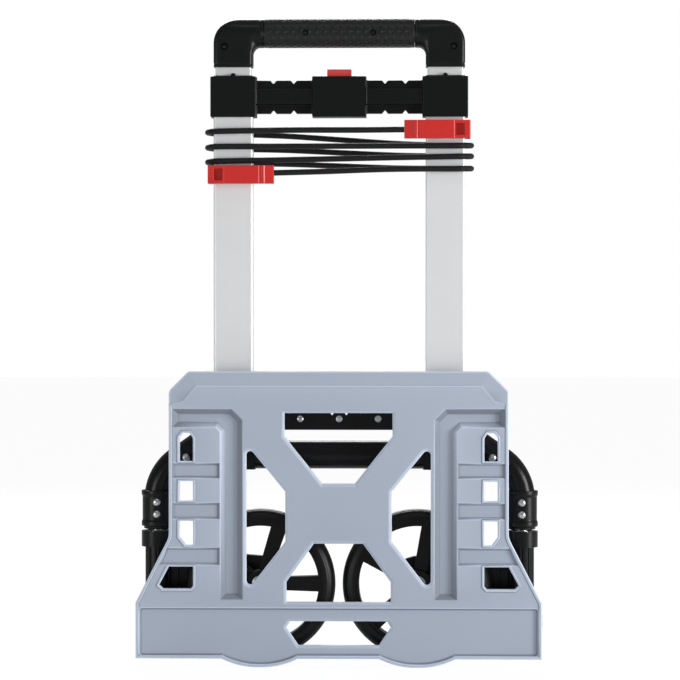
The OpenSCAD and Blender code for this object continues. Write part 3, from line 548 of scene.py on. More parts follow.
windows = [np.array(w, float) for w in (
    [(-210, 93.8), (-177, 93.8), (-174, 97), (-174, 120.2), (-203, 120.2), (-215, 98)],
    [(-190, 156), (-183, 146.5), (-174, 146.5), (-174, 175.0), (-190, 175.0)],
    [(-190, 199), (-174, 199), (-174, 222.6), (-190, 222.6)],
    [(-190, 246.4), (-174, 246.4), (-174, 274), (-178, 280.2), (-186, 280.2), (-190, 275)])]
groove = np.array([(-142, 80.4), (-114, 80.4), (-114, 296.3), (-127.4, 309.7),
                   (-199, 309.7), (-199, 286.4), (-147, 286.4), (-142, 281.4)], float)
bands = [np.array([(inner, low), (inner, high), (top_out, high), (foot_out, low)], float)
         for low, high, inner, top_out, foot_out in (
             (122, 143.2, -142, -206, -215), (177, 196.8, -142, -199, -199),
             (225.8, 244.3, -142, -199, -199))]
recess = np.vstack([arc(-base_half + 8.2, 67, 4, 90, 180, 4), arc(-base_half + 8.2, 17.6, 4, 180, 270, 4),
                    lobe(-wheel_x, 3.4), lobe(wheel_x, 3.4),
                    arc(base_half - 8.2, 17.6, 4, 270, 360, 4), arc(base_half - 8.2, 67, 4, 0, 90, 4)])
tip_corners = np.array([(201, 314), (186, 318), (171, 336.5)])
tip_line = np.vstack([(-side_half, 313.5), tip_corners * (-1, 1), tip_corners[::-1], (side_half, 313.5)])


def drawn_in(loop, t):
    """A counterclockwise loop with every edge moved inwards by t and its corners mitred."""
    edge = np.roll(loop, -1, 0) - loop
    inward = np.stack([-edge[:, 1], edge[:, 0]], -1) / np.linalg.norm(edge, axis=1)[:, None]
    before = np.roll(inward, 1, 0)
    return loop + t * (before + inward) / (1 + (before * inward).sum(1))[:, None]


def reach(p, line):
    """Least distance from each point to a line's stretches."""
    a, b = line[:-1][None], line[1:][None]
    along = np.clip(((p[:, None] - a) * (b - a)).sum(-1) / ((b - a) ** 2).sum(-1), 0, 1)
    return np.sqrt((((p[:, None] - a) - along[..., None] * (b - a)) ** 2).sum(-1)).min(1)


def within(p, loop):
    """Whether each point is inside the loop: a ray to the right crosses it an odd number of times."""
    a, b = loop[None], np.roll(loop, -1, 0)[None]
    straddles = (a[..., 1] > p[:, None, 1]) != (b[..., 1] > p[:, None, 1])
    rise = np.where(a[..., 1] == b[..., 1], 1.0, b[..., 1] - a[..., 1])
    cross = a[..., 0] + (p[:, None, 1] - a[..., 1]) * (b[..., 0] - a[..., 0]) / rise
    return (straddles & (cross > p[:, None, 0])).sum(1) % 2 == 1


def deep_in(p, loop):
    """Distance to the loop's edge, positive inside and negative outside."""
    far = reach(p, np.vstack([loop, loop[:1]]))
    return np.where(within(p, loop), far, -far)


def eased(t, k=0.08):
    """A ramp from 0 at t = 0 to 1 at t = 1 whose two corners are rounded by k."""
    return (np.sqrt(t * t + k * k) - np.sqrt((t - 1) ** 2 + k * k) + 1) / 2


def beyond(x, z, a, b):
    """Distance past the line from a up to b, positive above it."""
    return ((b[1] - a[1]) * (x - a[0]) + (a[0] - b[0]) * (z - a[1])) / np.linalg.norm(b - a)


def plate_depths(p):
    """Depth of the underside and of the load side at each point: the flat slab,
    plus rims, grooves, bands, tray and walls as ramps of the distance to each
    outline, less a quarter round of edge_r along every free edge, and the share of
    painted highlight there, from 0 to 1, on the rounded edges and the hole bevels.
    The five large holes have a bevel 3.4 mm wide."""
    q = np.stack([-np.abs(p[:, 0]), p[:, 1]], -1)
    x, z = -q[:, 0], q[:, 1]
    from_edge = deep_in(q, plate_edge)
    from_window = np.min([-deep_in(q, w) for w in windows], 0)
    from_hole = np.min([-deep_in(q, h) for h in middle_holes + [side_hole]], 0)
    low, bend, high = tip_corners
    tip = np.maximum(z - high[1], np.minimum(beyond(x, z, bend, high), beyond(x, z, low, bend)))
    rim = np.maximum(eased((edge_rim - from_edge) / 0.8) * eased(-tip / 1.5),
                     eased((window_rim - from_window) / 0.8))
    down = eased((deep_in(q, groove) - 0.6) / 6.0)
    front = face_deep * (1 - rim) + 0.045 * (tip + np.sqrt(tip * tip + 0.3))
    front += groove_deep * down + 0.4 * eased(tip / 0.6)
    front += band_deep * eased(np.max([deep_in(q, b) for b in bands], 0) / 2.4)
    front += tray_deep * eased(deep_in(q, recess) / 2.0)
    near = np.clip(edge_r - np.minimum(np.minimum(from_edge, from_window), from_hole), 0, edge_r)
    rounded_off = edge_r - np.sqrt(edge_r ** 2 - near ** 2)
    front += bevel_deep * eased((hole_bevel - from_hole) / 2.0)
    painted_highlight_share = np.maximum(near / edge_r, 0.4 * eased((hole_bevel - 0.1 - from_hole) / 0.6))
    wall = eased((4.0 - reach(q, tray_wall)) / 0.7, 0.05) * eased((tray_top - z) / 0.8, 0.05)
    top = skirt_deep + (lobe_deep - skirt_deep) * eased(lobe_half - np.abs(x - wheel_x)) * (z < 20)
    rise = np.sqrt(np.maximum(ear_r ** 2 - (z - hinge_z) ** 2, 0))
    top += (hinge_deep - skirt_deep + rise) * eased((ear_r - np.abs(z - hinge_z)) / 0.6) * (x > side_half)
    back = (slab_deep + down) * (1 - wall) + top * wall
    return front + rounded_off, back - rounded_off, painted_highlight_share


def in_batches(p):
    """The plate's depths for many points, a batch at a time."""
    return np.concatenate([np.stack(plate_depths(p[i:i + 20000])) for i in range(0, len(p), 20000)], 1)


free_edge = (0, 0.12, 0.5, 1.0, edge_r)
loops = [drawn_in(plate_edge, t) for t in free_edge + (2.5, 3.2, 3.6, edge_rim, 5.0)]
hole_steps = free_edge + (2.0, 2.6, 3.0, hole_bevel, 4.3)
lines = [tip_line + (0, t) for t in (-0.9, 0, 0.3, 0.6, 1.5)]
for turn in (np.asarray, mirrored):
    loops += [drawn_in(turn(w), -t) for w in windows for t in free_edge + (2.6, 3.0, window_rim, 4.3)]
    loops += [drawn_in(turn(side_hole), -t) for t in hole_steps]
    loops += [drawn_in(turn(groove), t) for t in (-0.4, 0.2, 0.6, 1.0, 1.6, 5.6, 6.2, 6.6, 7.0, 7.6)]
    loops += [drawn_in(turn(b), t) for b in bands
              for t in (-0.9, -0.4, 0, 0.4, 0.9, 1.5, 2.0, 2.4, 2.8, 3.3)]
    ear_lines = hinge_z + ear_r * np.cos(np.radians(np.arange(0, 181, 9)))
    for z in np.r_[tray_top - np.array([0, 0.4, 0.8]), ear_lines, hinge_z - ear_r - 0.6,
                   hinge_z + ear_r + 0.6]:
        lines.append(turn([(-base_half, z), (-base_half + 5.2, z)]))
    for x in wheel_x + np.array([-1, 1])[:, None] * (lobe_half - np.array([0, 0.5, 1.0])):
        lines += [turn([(-a, tray_foot - 2), (-a, tray_foot + 6)]) for a in x]
loops += [drawn_in(h, -t) for h in middle_holes for t in hole_steps]
loops += [drawn_in(recess, t) for t in (-0.9, -0.4, 0, 0.4, 0.9, 1.6, 2.0, 2.4, 2.9)]

points, edges = [], []
for n, line in enumerate(loops + lines):
    start, count = len(points), len(line)
    points += [Vector(v) for v in np.asarray(line).tolist()]
    edges += [(start + i, start + i + 1) for i in range(count - 1)]
    if n < len(loops):
        edges.append((start + count - 1, start))
cut = delaunay_2d_cdt(points, edges, [], 0, 1e-4)
spots, corners = np.array([tuple(v) for v in cut[0]]), np.array(cut[2])
middles = spots[corners].mean(1)
keep = within(middles, plate_edge)
for hole in middle_holes + [turn(h) for h in windows + [side_hole] for turn in (np.asarray, mirrored)]:
    keep &= ~within(middles, hole)
corners = corners[keep]
used, corners = np.unique(corners, return_inverse=True)
spots, corners = spots[used], corners.reshape(-1, 3)
a, b, c = spots[corners].transpose(1, 0, 2)
turned_over = (b - a)[:, 0] * (c - a)[:, 1] - (b - a)[:, 1] * (c - a)[:, 0] < 0
corners[turned_over] = corners[turned_over][:, ::-1]

# Boundary edges are the triangle sides that have no partner: they carry the walls.
rims = corners[:, [0, 1, 1, 2, 2, 0]].reshape(-1, 2)
code = rims[:, 0] * len(spots) + rims[:, 1]
rims = rims[~np.isin(code, rims[:, 1] * len(spots) + rims[:, 0])]
front, back, painted_highlight_share = in_batches(spots)

# Painted light and shade, given as how much paler each point is: outer corners, where
# the four depths round a point lie deeper than its own, get a painted highlight,
# as do the rounded edges, and inner corners get painted shade.
bend_reach, full_bend, outer_highlight, inner_shade, highlight_paler = 0.8, 0.7, 0.55, 0.42, 0.62
around_it = sum(in_batches(spots + bend_reach * np.array(d))[:2] for d in ((1, 0), (-1, 0), (0, 1), (0, -1)))
bent = np.clip((around_it - 4 * np.stack([front, back])) / full_bend, -1, 1) * ((1,), (-1,))
painted_paleness = np.where(bent > 0, outer_highlight, inner_shade) * bent * (1 - painted_highlight_share) + highlight_paler * painted_highlight_share
painted_edge_light = np.concatenate(painted_paleness)
count = len(spots)
faces = ([tuple(t) for t in corners.tolist()] + [tuple(t) for t in (corners[:, ::-1] + count).tolist()]
         + [(e, s, s + count, e + count) for s, e in rims.tolist()])
places = np.concatenate([np.stack([spots[:, 0], front, spots[:, 1]], -1),
                         np.stack([spots[:, 0], back, spots[:, 1]], -1)]) * mm + (0, plate_low.y, 0)


def plate_normals():
    """Face corner normals: the slopes of the two depths just inside each
    triangle, and the outward side of each wall, smoothed where it turns little."""
    inner = spots[corners] * 0.88 + spots[corners].mean(1)[:, None] * 0.12
    p, h = inner.reshape(-1, 2), 0.02
    east, west, north, south = (in_batches(p + d) for d in ((h, 0), (-h, 0), (0, h), (0, -h)))
    slope_x, slope_z = ((east - west) / (2 * h))[:2], ((north - south) / (2 * h))[:2]
    under = np.stack([slope_x[0], -np.ones(len(p)), slope_z[0]], -1).reshape(-1, 3, 3)
    load = np.stack([-slope_x[1], np.ones(len(p)), -slope_z[1]], -1).reshape(-1, 3, 3)[:, ::-1]
    run = spots[rims[:, 1]] - spots[rims[:, 0]]
    out = np.stack([run[:, 1], np.zeros(len(run)), -run[:, 0]], -1)
    out /= np.linalg.norm(out, axis=1)[:, None]
    after, before = np.empty(count, int), np.empty(count, int)
    after[rims[:, 0]], before[rims[:, 1]] = np.arange(len(rims)), np.arange(len(rims))
    shared = []
    for near_by in (out[after[rims[:, 1]]], out[before[rims[:, 0]]]):
        shared.append(np.where((out * near_by).sum(1)[:, None] > 0.8, out + near_by, out))
    wall = np.stack([shared[0], shared[1], shared[1], shared[0]], 1)
    made = np.concatenate([under.reshape(-1, 3), load.reshape(-1, 3), wall.reshape(-1, 3)])
    return made / np.linalg.norm(made, axis=1)[:, None]


plate_mesh = bpy.data.meshes.new("plate_shell")
plate_mesh.from_pydata(places.tolist(), [], faces)
toe_plate = placed("plate_shell", plate_mesh)
plate_mesh.normals_split_custom_set(plate_normals().tolist())
# The painted highlights and painted shade go on the mesh as a point attribute.
plate_mesh.attributes.new("painted_edge_light", "FLOAT", "POINT").data.foreach_set("value", painted_edge_light)

# Painted highlights on the raised and rounded edges, and painted shade in the inner corners, scale the
# plate's colour.
plate_plastic, nodes, links = new_material("plate_moulding")
shader = surface(nodes, links, (0.480, 0.540, 0.650), 0.38, Specular_IOR_Level=0.3)
pattern = use(nodes, grain, Size=1300.0, Scuffs=0.25)
painted_light_attribute, lighter = several(nodes.new, "Attribute", "VectorMath")
painted_light_attribute.attribute_name = "painted_edge_light"
lighter.operation = "SCALE"
shade_between(nodes, links, pattern.outputs["Shade"], (0.408, 0.462, 0.550), (0.452, 0.508, 0.604),
              lighter.inputs[0])
links.new(sum_of(nodes.new, links.new, "ADD", painted_light_attribute.outputs["Fac"], 1.0), lighter.inputs["Scale"])
links.new(lighter.outputs[0], shader.inputs["Base Color"])
relief(nodes, links, pattern.outputs["Height"], shader, 0.00003)
fit(toe_plate, plate_plastic, "toe_plate", "plate_plastic", "toe_plate")

# ---------------------------------------------------------------- hinge pins and leg feet
# A headed steel pin goes through each ear of the tray into a moulded foot,
# which also holds the lower end of the leg's steel rod.
black_plastic = moulded("black_moulding", (0.004, 0.0045, 0.0045), (0.008, 0.0085, 0.0085), 0.30, 700.0,
                        0.00003, Specular_IOR_Level=0.2)


def paint(material, *nodes):
    """Gives nodes that are shown as they are their material."""
    for node in nodes:
        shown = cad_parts[node].data
        shown.materials.clear()
        shown.materials.append(material)


# Drawn or brushed metal: fine lines along one axis, and slow patches of shade.
brushed, put, tie, given, result = effect(
    "drawn_lines", [("Along X", 1.0), ("Along Z", 1.0), ("Fine", 1.0)],
    ["Height", "Shade"])
place, stretch, scale, drawn, patches = several(
    put, "TexCoord", "CombineXYZ", "VectorMath", "TexNoise", "TexNoise")
scale.operation = "MULTIPLY"
tie(given.outputs["Along X"], stretch.inputs[0])
tie(given.outputs["Fine"], stretch.inputs[1])
tie(given.outputs["Along Z"], stretch.inputs[2])
tie(place.outputs["Object"], scale.inputs[0])
tie(stretch.outputs[0], scale.inputs[1])
preset(drawn, Scale=1.0, Detail=4.0)
preset(patches, Scale=14.0, Detail=3.0)
tie(scale.outputs[0], drawn.inputs["Vector"])
tie(place.outputs["Object"], patches.inputs["Vector"])
tie(drawn.outputs["Fac"], result.inputs["Height"])
tie(patches.outputs["Fac"], result.inputs["Shade"])


def metal(name, dark, light, roughness, across, along, fine, depth, **sockets):
    """Metal between two shades with fine drawn lines."""
    lines = {"Along_X": across, "Along_Z": along, "Fine": fine}
    return patterned(name, brushed, lines, "Height", dark, light, roughness, 0.1, depth,
                     {"Metallic": 1.0, **sockets})


def rounded(name, node, radius, material, body, slot):
    """Shows a CAD node by a copy whose edges are rounded."""
    fit(smoothed(name, node, radius), material, body, slot, node)


bright_steel = metal("zinc_steel", (0.50, 0.50, 0.50), (0.68, 0.68, 0.67), 0.24, 400.0, 400.0, 400.0,
                     0.00001)
for side in ("left", "right"):
    rounded("pin_" + side, "hinge_pin_" + side, 0.0006, bright_steel, "frame", "bright_steel")
    rounded("foot_" + side, "leg_foot_" + side, 0.0014, black_plastic, "frame", "black_plastic")

# ---------------------------------------------------------------- rods and swing springs
# Each wheel arm swings on a plain steel rod. A spring of round wire, wound
# two and a half turns round the rod, pushes the arm out as the plate opens.
paint(bright_steel, "pivot_rod_left", "pivot_rod_right")
spring_steel = metal("spring_wire", (0.48, 0.48, 0.48), (0.66, 0.66, 0.66), 0.20, 500.0, 500.0, 500.0,
                     0.00001)


def wound(name, node, wire, turns, s=1):
    """A round wire that fills a node's box: (x - s r cos a, r sin a, z) about
    the box's middle x, with z rising evenly with a."""
    low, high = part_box(node)
    x, r = (low.x + high.x) / 2, (high.x - low.x) / 2 - wire
    a = np.linspace(0, 2 * np.pi * turns, int(36 * turns))
    z = np.linspace(low.z + wire, high.z - wire, len(a))
    return swept_tube(np.stack([x - s * r * np.cos(a), hinge_y + r * np.sin(a), z], -1), wire, 12, name)


for s, side in ((-1, "left"), (1, "right")):
    node = "swing_spring_" + side
    fit(wound("spring_" + side, node, 0.0009, 2.5, s), spring_steel, "frame", "spring_steel", node)

# ---------------------------------------------------------------- leg collars and rivets
# A waisted moulding joins the rod below to the bent tube above. Two domed
# rivets go through each collar and the tube.


def grid_faces(rows, columns, wrap_rows=False):
    """Quads of a grid whose columns close on themselves, and its rows too if asked."""
    i, k = np.meshgrid(np.arange(rows if wrap_rows else rows - 1), np.arange(columns), indexing="ij")
    j, m = (i + 1) % rows, (k + 1) % columns
    return np.stack([i * columns + k, j * columns + k, j * columns + m, i * columns + m], -1).reshape(-1, 4)


def turned(name, outline, centre, axis, around=96):
    """A closed outline of (radius, height) carried round an axis through the
    centre: centre + radius * (cos a, sin a) across the axis + height along it."""
    outline = np.asarray(outline, float)
    ahead = np.zeros(3)
    ahead["xyz".index(axis)] = 1
    e1 = np.roll(ahead, 1)
    e2 = np.cross(ahead, e1)
    a = circle(around)
    across = np.cos(a)[:, None] * e1 + np.sin(a)[:, None] * e2
    points = (np.asarray(centre, float) + mm * (outline[:, None, :1] * across[None]
                                                + outline[:, None, 1:] * ahead))
    return closed_mesh(name, points.reshape(-1, 3), grid_faces(len(outline), around, True).tolist())


def bolt_heads(name, spots, radius, rise, facing, drive=0.0):
    """Domed heads of one size on spots of (x, y, z). Height over the seat at
    radius r and angle a is rise * sqrt(1 - (r/radius)^2 * 0.92), less the drive
    depth where either arm of a cross is closer than 0.17 radius."""
    rings, around = np.r_[np.linspace(0, 1, 22), 1.0], 72
    a = circle(around)
    u, v = rings[:, None] * np.cos(a), rings[:, None] * np.sin(a)
    u_off, v_off = np.abs(u), np.abs(v)
    arm = np.minimum(np.maximum(u_off / 0.6, v_off / 0.17), np.maximum(v_off / 0.6, u_off / 0.17))
    high = rise * np.sqrt(1 - 0.92 * rings[:, None] ** 2) - drive * eased((1.15 - arm) / 0.3, 0.1)
    high[-1] = 0.0
    local = np.stack([radius * u, facing * high, radius * v], -1)
    foot = np.zeros((1, around, 3))
    head = np.vstack([local, foot]).reshape(-1, 3)
    faces = grid_faces(len(local) + 1, around)
    points = (np.asarray(spots, float)[:, None] + head[None]).reshape(-1, 3)
    faces = (faces[None] + np.arange(len(spots))[:, None, None] * len(head)).reshape(-1, 4)
    return closed_mesh(name, points, faces.tolist(), 30.0)


def steel_heads(name, node, *shape):
    """Bright steel heads on the frame, in place of a node of screws or rivets."""
    fit(bolt_heads(name, *shape), bright_steel, "frame", "bright_steel", node)


rivet_spots, tube_rivet_spots, rivet_r = [], [], 0.0046
rivets_low, rivets_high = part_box("collar_rivets")
tube_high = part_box("cross_tube_rivets")[1]
for side in ("left", "right"):
    low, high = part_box("leg_collar_" + side)
    centre_x = middle_of("leg_collar_" + side).x
    top = (high.z - low.z) / mm
    waisted = [(17.2, -3.3), (17.2, 0), (20, 0), (20, 5.2), (18.9, 7.2), (18.9, top - 7.2), (20, top - 5.2),
               (20, top), (17.9, top), (17.9, top - 11), (16.7, top - 11.2), (16.7, 12), (8.1, 12), (8.1, 1),
               (13.6, 1), (13.6, -3.3)]
    fit(turned("collar_" + side, softened(waisted, 1.0), (centre_x, hinge_y, low.z), "z"),
        black_plastic, "frame", "black_plastic", "leg_collar_" + side)
    rivet_spots += [(centre_x, hinge_y - 0.0188, z)
                    for z in (rivets_low.z + rivet_r, rivets_high.z - rivet_r)]
    tube_rivet_spots.append((math.copysign(tube_high.x - rivet_r, centre_x), tube_high.y - 0.0001,
                             middle_of("cross_tube_rivets").z))
steel_heads("rivets_collar", "collar_rivets", rivet_spots, rivet_r, 0.0032, -1)
steel_heads("rivets_tube", "cross_tube_rivets", tube_rivet_spots, rivet_r, 0.0034, -1)

# ---------------------------------------------------------------- steel tubes
# Black powder-coated steel: two bent shoulders and the cross tube that is
# coped to fit between them. The coat has a fine orange-peel relief.
powder, nodes, links = new_material("powder_coat")
shader = surface(nodes, links, (0.003, 0.003, 0.0035), 0.26, Specular_IOR_Level=0.2)
peel = use(nodes, grain, Size=420.0, Scuffs=0.4)
shade_between(nodes, links, peel.outputs["Shade"], (0.0035, 0.0035, 0.004), (0.007, 0.007, 0.0075),
              shader.inputs["Base Color"])
relief(nodes, links, peel.outputs["Height"], shader, 0.00006)
paint(powder, "shoulder_tube_left", "shoulder_tube_right", "cross_tube")

# ---------------------------------------------------------------- wheel arms and axles
# A moulded arm with a fluted sleeve turns on each leg's rod. A steel axle is
# pressed through its paddle, and a push-on cap keeps the wheel on it.
for side in ("left", "right"):
    body = "wheel_arm_" + side
    rounded("arm_" + side, body, 0.0011, black_plastic, body, "black_plastic")
    rounded("axle_pin_" + side, "axle_" + side, 0.0008, bright_steel, body, "bright_steel")
    low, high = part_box("hub_cap_" + side)
    cap_r, cap_t = (high.x - low.x) / 2 / mm, (high.y - low.y) / mm
    dome = [(0, 0), (3, 0), (3.6, 0.7), (7.4, 0.5), (8.2, 0), (cap_r, 1.0), (cap_r, cap_t), (0, cap_t)]
    centre = middle_of("hub_cap_" + side)
    centre.y = low.y
    fit(turned("cap_" + side, softened(dome, 0.5), centre, "y", 64), bright_steel, body, "bright_steel",
        "hub_cap_" + side)

# ---------------------------------------------------------------- wheels
# Each wheel is one moulding with five spokes that widen to the rim, a solid
# rubber tyre with two fine lines round its crown, and a nylon bush.
wheel_plastic = moulded("wheel_moulding", (0.003, 0.003, 0.0035), (0.006, 0.006, 0.0065), 0.30, 700.0,
                        0.00003, Specular_IOR_Level=0.2)
tyre_rubber = moulded("tyre_rubber", (0.003, 0.003, 0.003), (0.007, 0.007, 0.007), 0.36, 1100.0,
                      0.00004, Specular_IOR_Level=0.2)
nylon = moulded("bush_nylon", (0.60, 0.59, 0.56), (0.68, 0.67, 0.64), 0.45, 500.0, 0.00002)
for side in ("left", "right"):
    body = "wheel_" + side
    low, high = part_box("tyre_" + side)
    half_w = (high.y - low.y) / 2 / mm
    a = np.radians(np.linspace(-90, 90, 61))
    crown = wheel_r - half_w
    lines_in = 0.35 * np.exp(-(((np.abs(np.degrees(a)) - 24) / 1.6) ** 2))
    lines_in += 0.30 * np.exp(-(((np.abs(np.degrees(a)) - 62) / 1.8) ** 2))
    section = np.stack([crown + (half_w - lines_in) * np.cos(a), (half_w - lines_in) * np.sin(a)], -1)
    fit(turned("tyre_shown_" + side, section, middle_of("tyre_" + side), "y", 160), tyre_rubber, body,
        "tyre", "tyre_" + side)
    rounded("wheel_shown_" + side, "wheel_rim_" + side, 0.0020, wheel_plastic, body, "wheel_plastic")
    paint(nylon, "wheel_bush_" + side)

# ---------------------------------------------------------------- aluminium rails
# Satin anodised box rails. The inner pair slides in the outer pair, and each
# outer rail's foot sits in a moulded socket that two screws hold to the tube.
rail_metal = metal("satin_rail", (0.87, 0.875, 0.88), (0.93, 0.935, 0.94), 0.36, 2600.0, 9.0, 2600.0,
                   0.000012, Metallic=0.34)
paint(rail_metal, "outer_rail_left", "outer_rail_right", "inner_rail_left", "inner_rail_right")
for side in ("left", "right"):
    rounded("socket_" + side, "rail_socket_" + side, 0.0016, black_plastic, "frame", "black_plastic")
low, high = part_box("socket_screws")
rail_centre = middle_of("outer_rail_right").x
screw_r, screw_rise = 0.0045, 0.0022
socket_spots = [(s * rail_centre, low.y + screw_rise, z) for s in (-1, 1)
                for z in (low.z + screw_r, high.z - screw_r)]
steel_heads("screws_socket", "socket_screws", socket_spots, screw_r, screw_rise, -1, 0.0014)

# ---------------------------------------------------------------- tie bar
# A notched black steel strip screwed across the two sockets.
rounded("tie_strip", "tie_bar", 0.0006, powder, "frame", "black_steel")
low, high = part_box("tie_bar_screws")
tie_screw_r = (high.z - low.z) / 2
tie_spots = [(x, high.y - 0.0003, (low.z + high.z) / 2)
             for x in (low.x + tie_screw_r, 0, high.x - tie_screw_r)]
steel_heads("screws_tie", "tie_bar_screws", tie_spots, tie_screw_r, 0.0026, -1, 0.0012)

# ---------------------------------------------------------------- lock housing
# Two black shells clamp round the rails' tops and hold the button and the
# bars. Four screws close them from behind, and a bush in each rail's top
# guides the inner rail.
for node, r in (("lock_housing_front", 0.0022), ("lock_housing_back", 0.0018), ("rail_bush_left", 0.0007),
                ("rail_bush_right", 0.0007)):
    rounded(node + "_shown", node, r, black_plastic, "frame", "black_plastic")
low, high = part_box("lock_housing_screws")
end_x, inner_x, head_r, head_rise = high.x - 0.004, 0.024, (high.z - low.z) / 2, 0.0022
housing_spots = [(x, high.y - head_rise, (low.z + high.z) / 2) for x in (-end_x, -inner_x, inner_x, end_x)]
steel_heads("screws_housing", "lock_housing_screws", housing_spots, head_r, head_rise, 1, 0.0014)

# ---------------------------------------------------------------- release button
# A red push button on a small spring. Its two fingers draw the steel bars in.
red_plastic = moulded("button_red", (0.66, 0.056, 0.056), (0.74, 0.070, 0.070), 0.36, 600.0, 0.00002)
rounded("button_shown", "release_button", 0.0018, red_plastic, "release_button", "red_plastic")
small_spring = wound("small_spring", "button_spring", 0.0005, 5)
fit(small_spring, spring_steel, "frame", "spring_steel", "button_spring")
low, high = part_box("button_spring")
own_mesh(small_spring)
paint(bright_steel, "lock_bar_left", "lock_bar_right")

# ---------------------------------------------------------------- handle elbows
# Black mouldings that turn from the inner rails' flat section into the round
# grip. A shallow line runs round each joint, and a screw sits in a deep well.
handle_plastic = moulded("handle_moulding", (0.005, 0.0058, 0.0055), (0.009, 0.0098, 0.0095), 0.30, 700.0,
                         0.00003, Specular_IOR_Level=0.2)
grip_low, grip_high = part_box("grip_sleeve")
grip_r, grip_z = (grip_high.z - grip_low.z) / 2 / mm, (grip_high.z + grip_low.z) / 2 / mm
elbow_low, elbow_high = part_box("handle_elbow_right")
foot_z, out_x, arm_x = elbow_low.z / mm, elbow_high.x / mm, grip_high.x / mm + 0.2
in_x = out_x - (rail_high.x - rail_low.x) / mm
bend_out, bend_in, well_r = 30.0, 8.5, 4.4


def elbow_shell(name):
    """Superellipse sections carried round the right-hand bend: at each station the
    outer and the inner line give the section's middle and half width, its half
    depth grows from 15.5 to the grip's radius, and its power falls from 7 to 2."""
    flat = np.array([0, 0.25, 0.8, 1.6, 2.2, 3.2, 4.2, 5.0, 9, 14, 20])
    leg_out = np.stack([np.full(11, out_x), foot_z + flat / 20 * (grip_z + grip_r - bend_out - foot_z)], -1)
    leg_in = np.stack([np.full(11, in_x), foot_z + flat / 20 * (grip_z - grip_r - bend_in - foot_z)], -1)
    turn_out = arc(out_x - bend_out, grip_z + grip_r - bend_out, bend_out, 0, 90, 18)[1:]
    turn_in = arc(in_x - bend_in, grip_z - grip_r - bend_in, bend_in, 0, 90, 18)[1:]
    rest = np.array([4, 8, 12, 14.5, 15.4, 16.0, 16.8, 17.6, 18.2, 19.2, 19.75, 20])[:, None] / 20
    arm_out = turn_out[-1] + rest * (np.array([arm_x, grip_z + grip_r]) - turn_out[-1])
    arm_in = turn_in[-1] + rest * (np.array([arm_x, grip_z - grip_r]) - turn_in[-1])
    outer, inner = np.vstack([leg_out, turn_out, arm_out]), np.vstack([leg_in, turn_in, arm_in])
    t = np.r_[np.zeros(11), np.linspace(0, 1, 19)[1:], np.ones(12)]
    smooth = t * t * (3 - 2 * t)
    less = np.zeros(len(t))
    less[:3], less[-3:] = (0.9, 0.4, 0.05), (0.05, 0.4, 0.9)
    less[4:6] = 0.45
    less[-7:-5] = 0.5
    power = (7 - 5 * smooth)[:, None]
    b = circle(96)[None]
    c, s = np.cos(b), np.sin(b)
    wide = np.sign(c) * np.abs(c) ** (2 / power)
    deep = np.sign(s) * np.abs(s) ** (2 / power)
    middle, half = (outer + inner) / 2, (outer - inner) / 2
    share = 1 - less / np.linalg.norm(half, axis=1)
    spots = middle[:, None] + (half * share[:, None])[:, None] * wide[..., None]
    y = (15.6 + (grip_r - 15.6) * smooth - less)[:, None] * deep
    points = np.stack([spots[..., 0], y + hinge_y / mm, spots[..., 1]], -1) * mm
    ends = [tuple(range(96)), tuple(range(len(t) * 96 - 96, len(t) * 96))]
    return closed_mesh(name, points.reshape(-1, 3), grid_faces(len(t), 96).tolist() + ends, 50.0)


screw_x, screw_z, front_y = out_x - 13.5, grip_z - 16.5, -15.6
well_floor_y = front_y + 4
screw_spots = []
for s, side in ((1, "right"), (-1, "left")):
    elbow = elbow_shell("elbow_" + side)
    if s < 0:
        elbow.data.transform(((-1, 0, 0, 0), (0, 1, 0, 0), (0, 0, 1, 0), (0, 0, 0, 1)))
        elbow.data.flip_normals()
    elbow.modifiers.clear()
    well = turned("elbow_well", [(0, -30), (well_r, -30), (well_r, well_floor_y), (0, well_floor_y)],
                  (s * screw_x * mm, hinge_y, screw_z * mm), "y", 48)
    well.modifiers.clear()
    cut_away(elbow, well, 50.0)
    fit(elbow, handle_plastic, "handle", "handle_plastic", "handle_elbow_" + side)
    screw_spots.append((s * screw_x * mm, hinge_y + well_floor_y * mm, screw_z * mm))

# ---------------------------------------------------------------- grip, core and screws
# A rubber sleeve with staggered dimples on an aluminium core tube. Two screws
# at the bottom of wells hold the sleeve to the core.
grip_rubber = moulded("grip_rubber", (0.009, 0.0095, 0.0095), (0.014, 0.0145, 0.0145), 0.42, 900.0,
                      0.00004, Specular_IOR_Level=0.3)
grip_half, core_r, dimple_r, dimple_deep = grip_high.x / mm, 11.15, 1.9, 0.9
dimple_gap, dimple_rows, grip_screw_x, grip_well = 9.7, 18, 40.6, 3.9


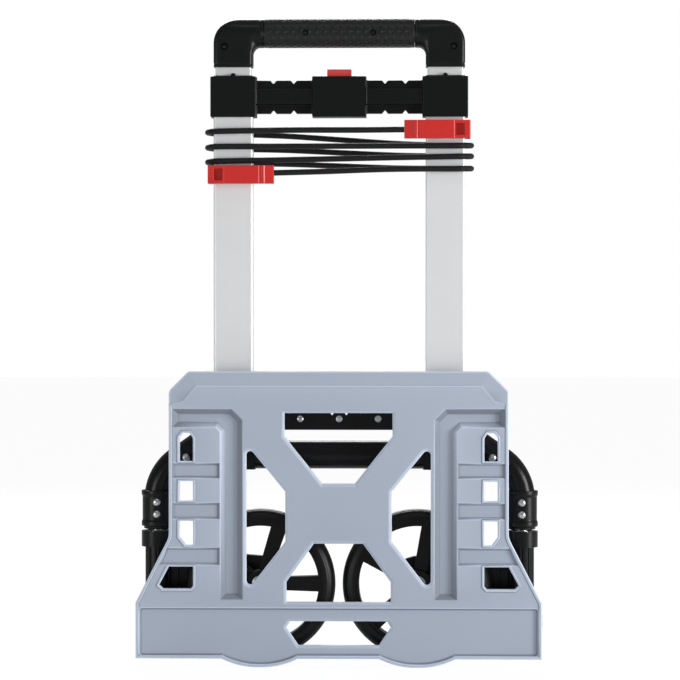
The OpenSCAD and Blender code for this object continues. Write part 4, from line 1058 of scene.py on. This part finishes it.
def grip_shell(name):
    """The sleeve's radius at (x, a): grip_r, less a bowl of sqrt(1 - (d / dimple_r)^2)
    at distance d from the nearest dimple of a staggered field, less the screw
    wells, and drawn in at both ends."""
    x = np.r_[-grip_half, -grip_half + 0.15, np.linspace(-grip_half + 0.5, grip_half - 0.5, 240),
              grip_half - 0.15, grip_half][:, None]
    a = circle(160)[None]
    row_at = a / (2 * np.pi) * dimple_rows
    best = np.full((x.shape[0], a.shape[1]), 99.0)
    for near_row in (np.floor(row_at), np.ceil(row_at)):
        shift = x / dimple_gap + 0.5 * (near_row % 2)
        dx = (shift - np.round(shift)) * dimple_gap
        dy = (row_at - near_row) * 2 * np.pi * grip_r / dimple_rows
        best = np.minimum(best, np.sqrt(dx ** 2 + dy ** 2))
    bowl = dimple_deep * np.sqrt(np.clip(1 - (best / dimple_r) ** 2, 0, 1)) * (np.abs(x) < grip_half - 6)
    around = np.angle(np.exp(1j * (a - np.pi))) * grip_r
    from_screw = np.sqrt((np.abs(x) - grip_screw_x) ** 2 + around ** 2)
    well = 4.6 * eased((grip_well - from_screw) / 0.8, 0.05)
    end = np.minimum(grip_half - np.abs(x), 1.0)
    line = 0.5 * np.exp(-(((grip_half - 3.2 - np.abs(x)) / 0.5) ** 2))
    r = grip_r - np.where(from_screw < grip_well + 1, well, bowl) - 0.9 * (1 - end) ** 2 - line
    outer = np.stack([x + 0 * a, r * np.cos(a), r * np.sin(a)], -1)
    bore = np.stack([x[[-1, 0]] + 0 * a, core_r * np.cos(a) + 0 * x[:2], core_r * np.sin(a) + 0 * x[:2]], -1)
    points = np.vstack([outer, bore]) * mm + (0, hinge_y, grip_z * mm)
    return closed_mesh(name, points.reshape(-1, 3), grid_faces(len(x) + 2, 160, True).tolist(), 60.0)


fit(grip_shell("grip_shown"), grip_rubber, "handle", "grip_rubber", "grip_sleeve")
paint(rail_metal, "handle_core")
paint(black_plastic, "rail_plug_left", "rail_plug_right")
screw_spots += [(s * grip_screw_x * mm, hinge_y - 0.0130, grip_z * mm) for s in (-1, 1)]
dark_steel = metal("blackened_screw", (0.05, 0.05, 0.05), (0.09, 0.09, 0.09), 0.30, 500.0, 500.0, 500.0,
                   0.00001)
fit(bolt_heads("screws_handle", screw_spots, 0.0035, 0.0018, -1, 0.0012), dark_steel, "handle", "dark_steel",
    "handle_screws")
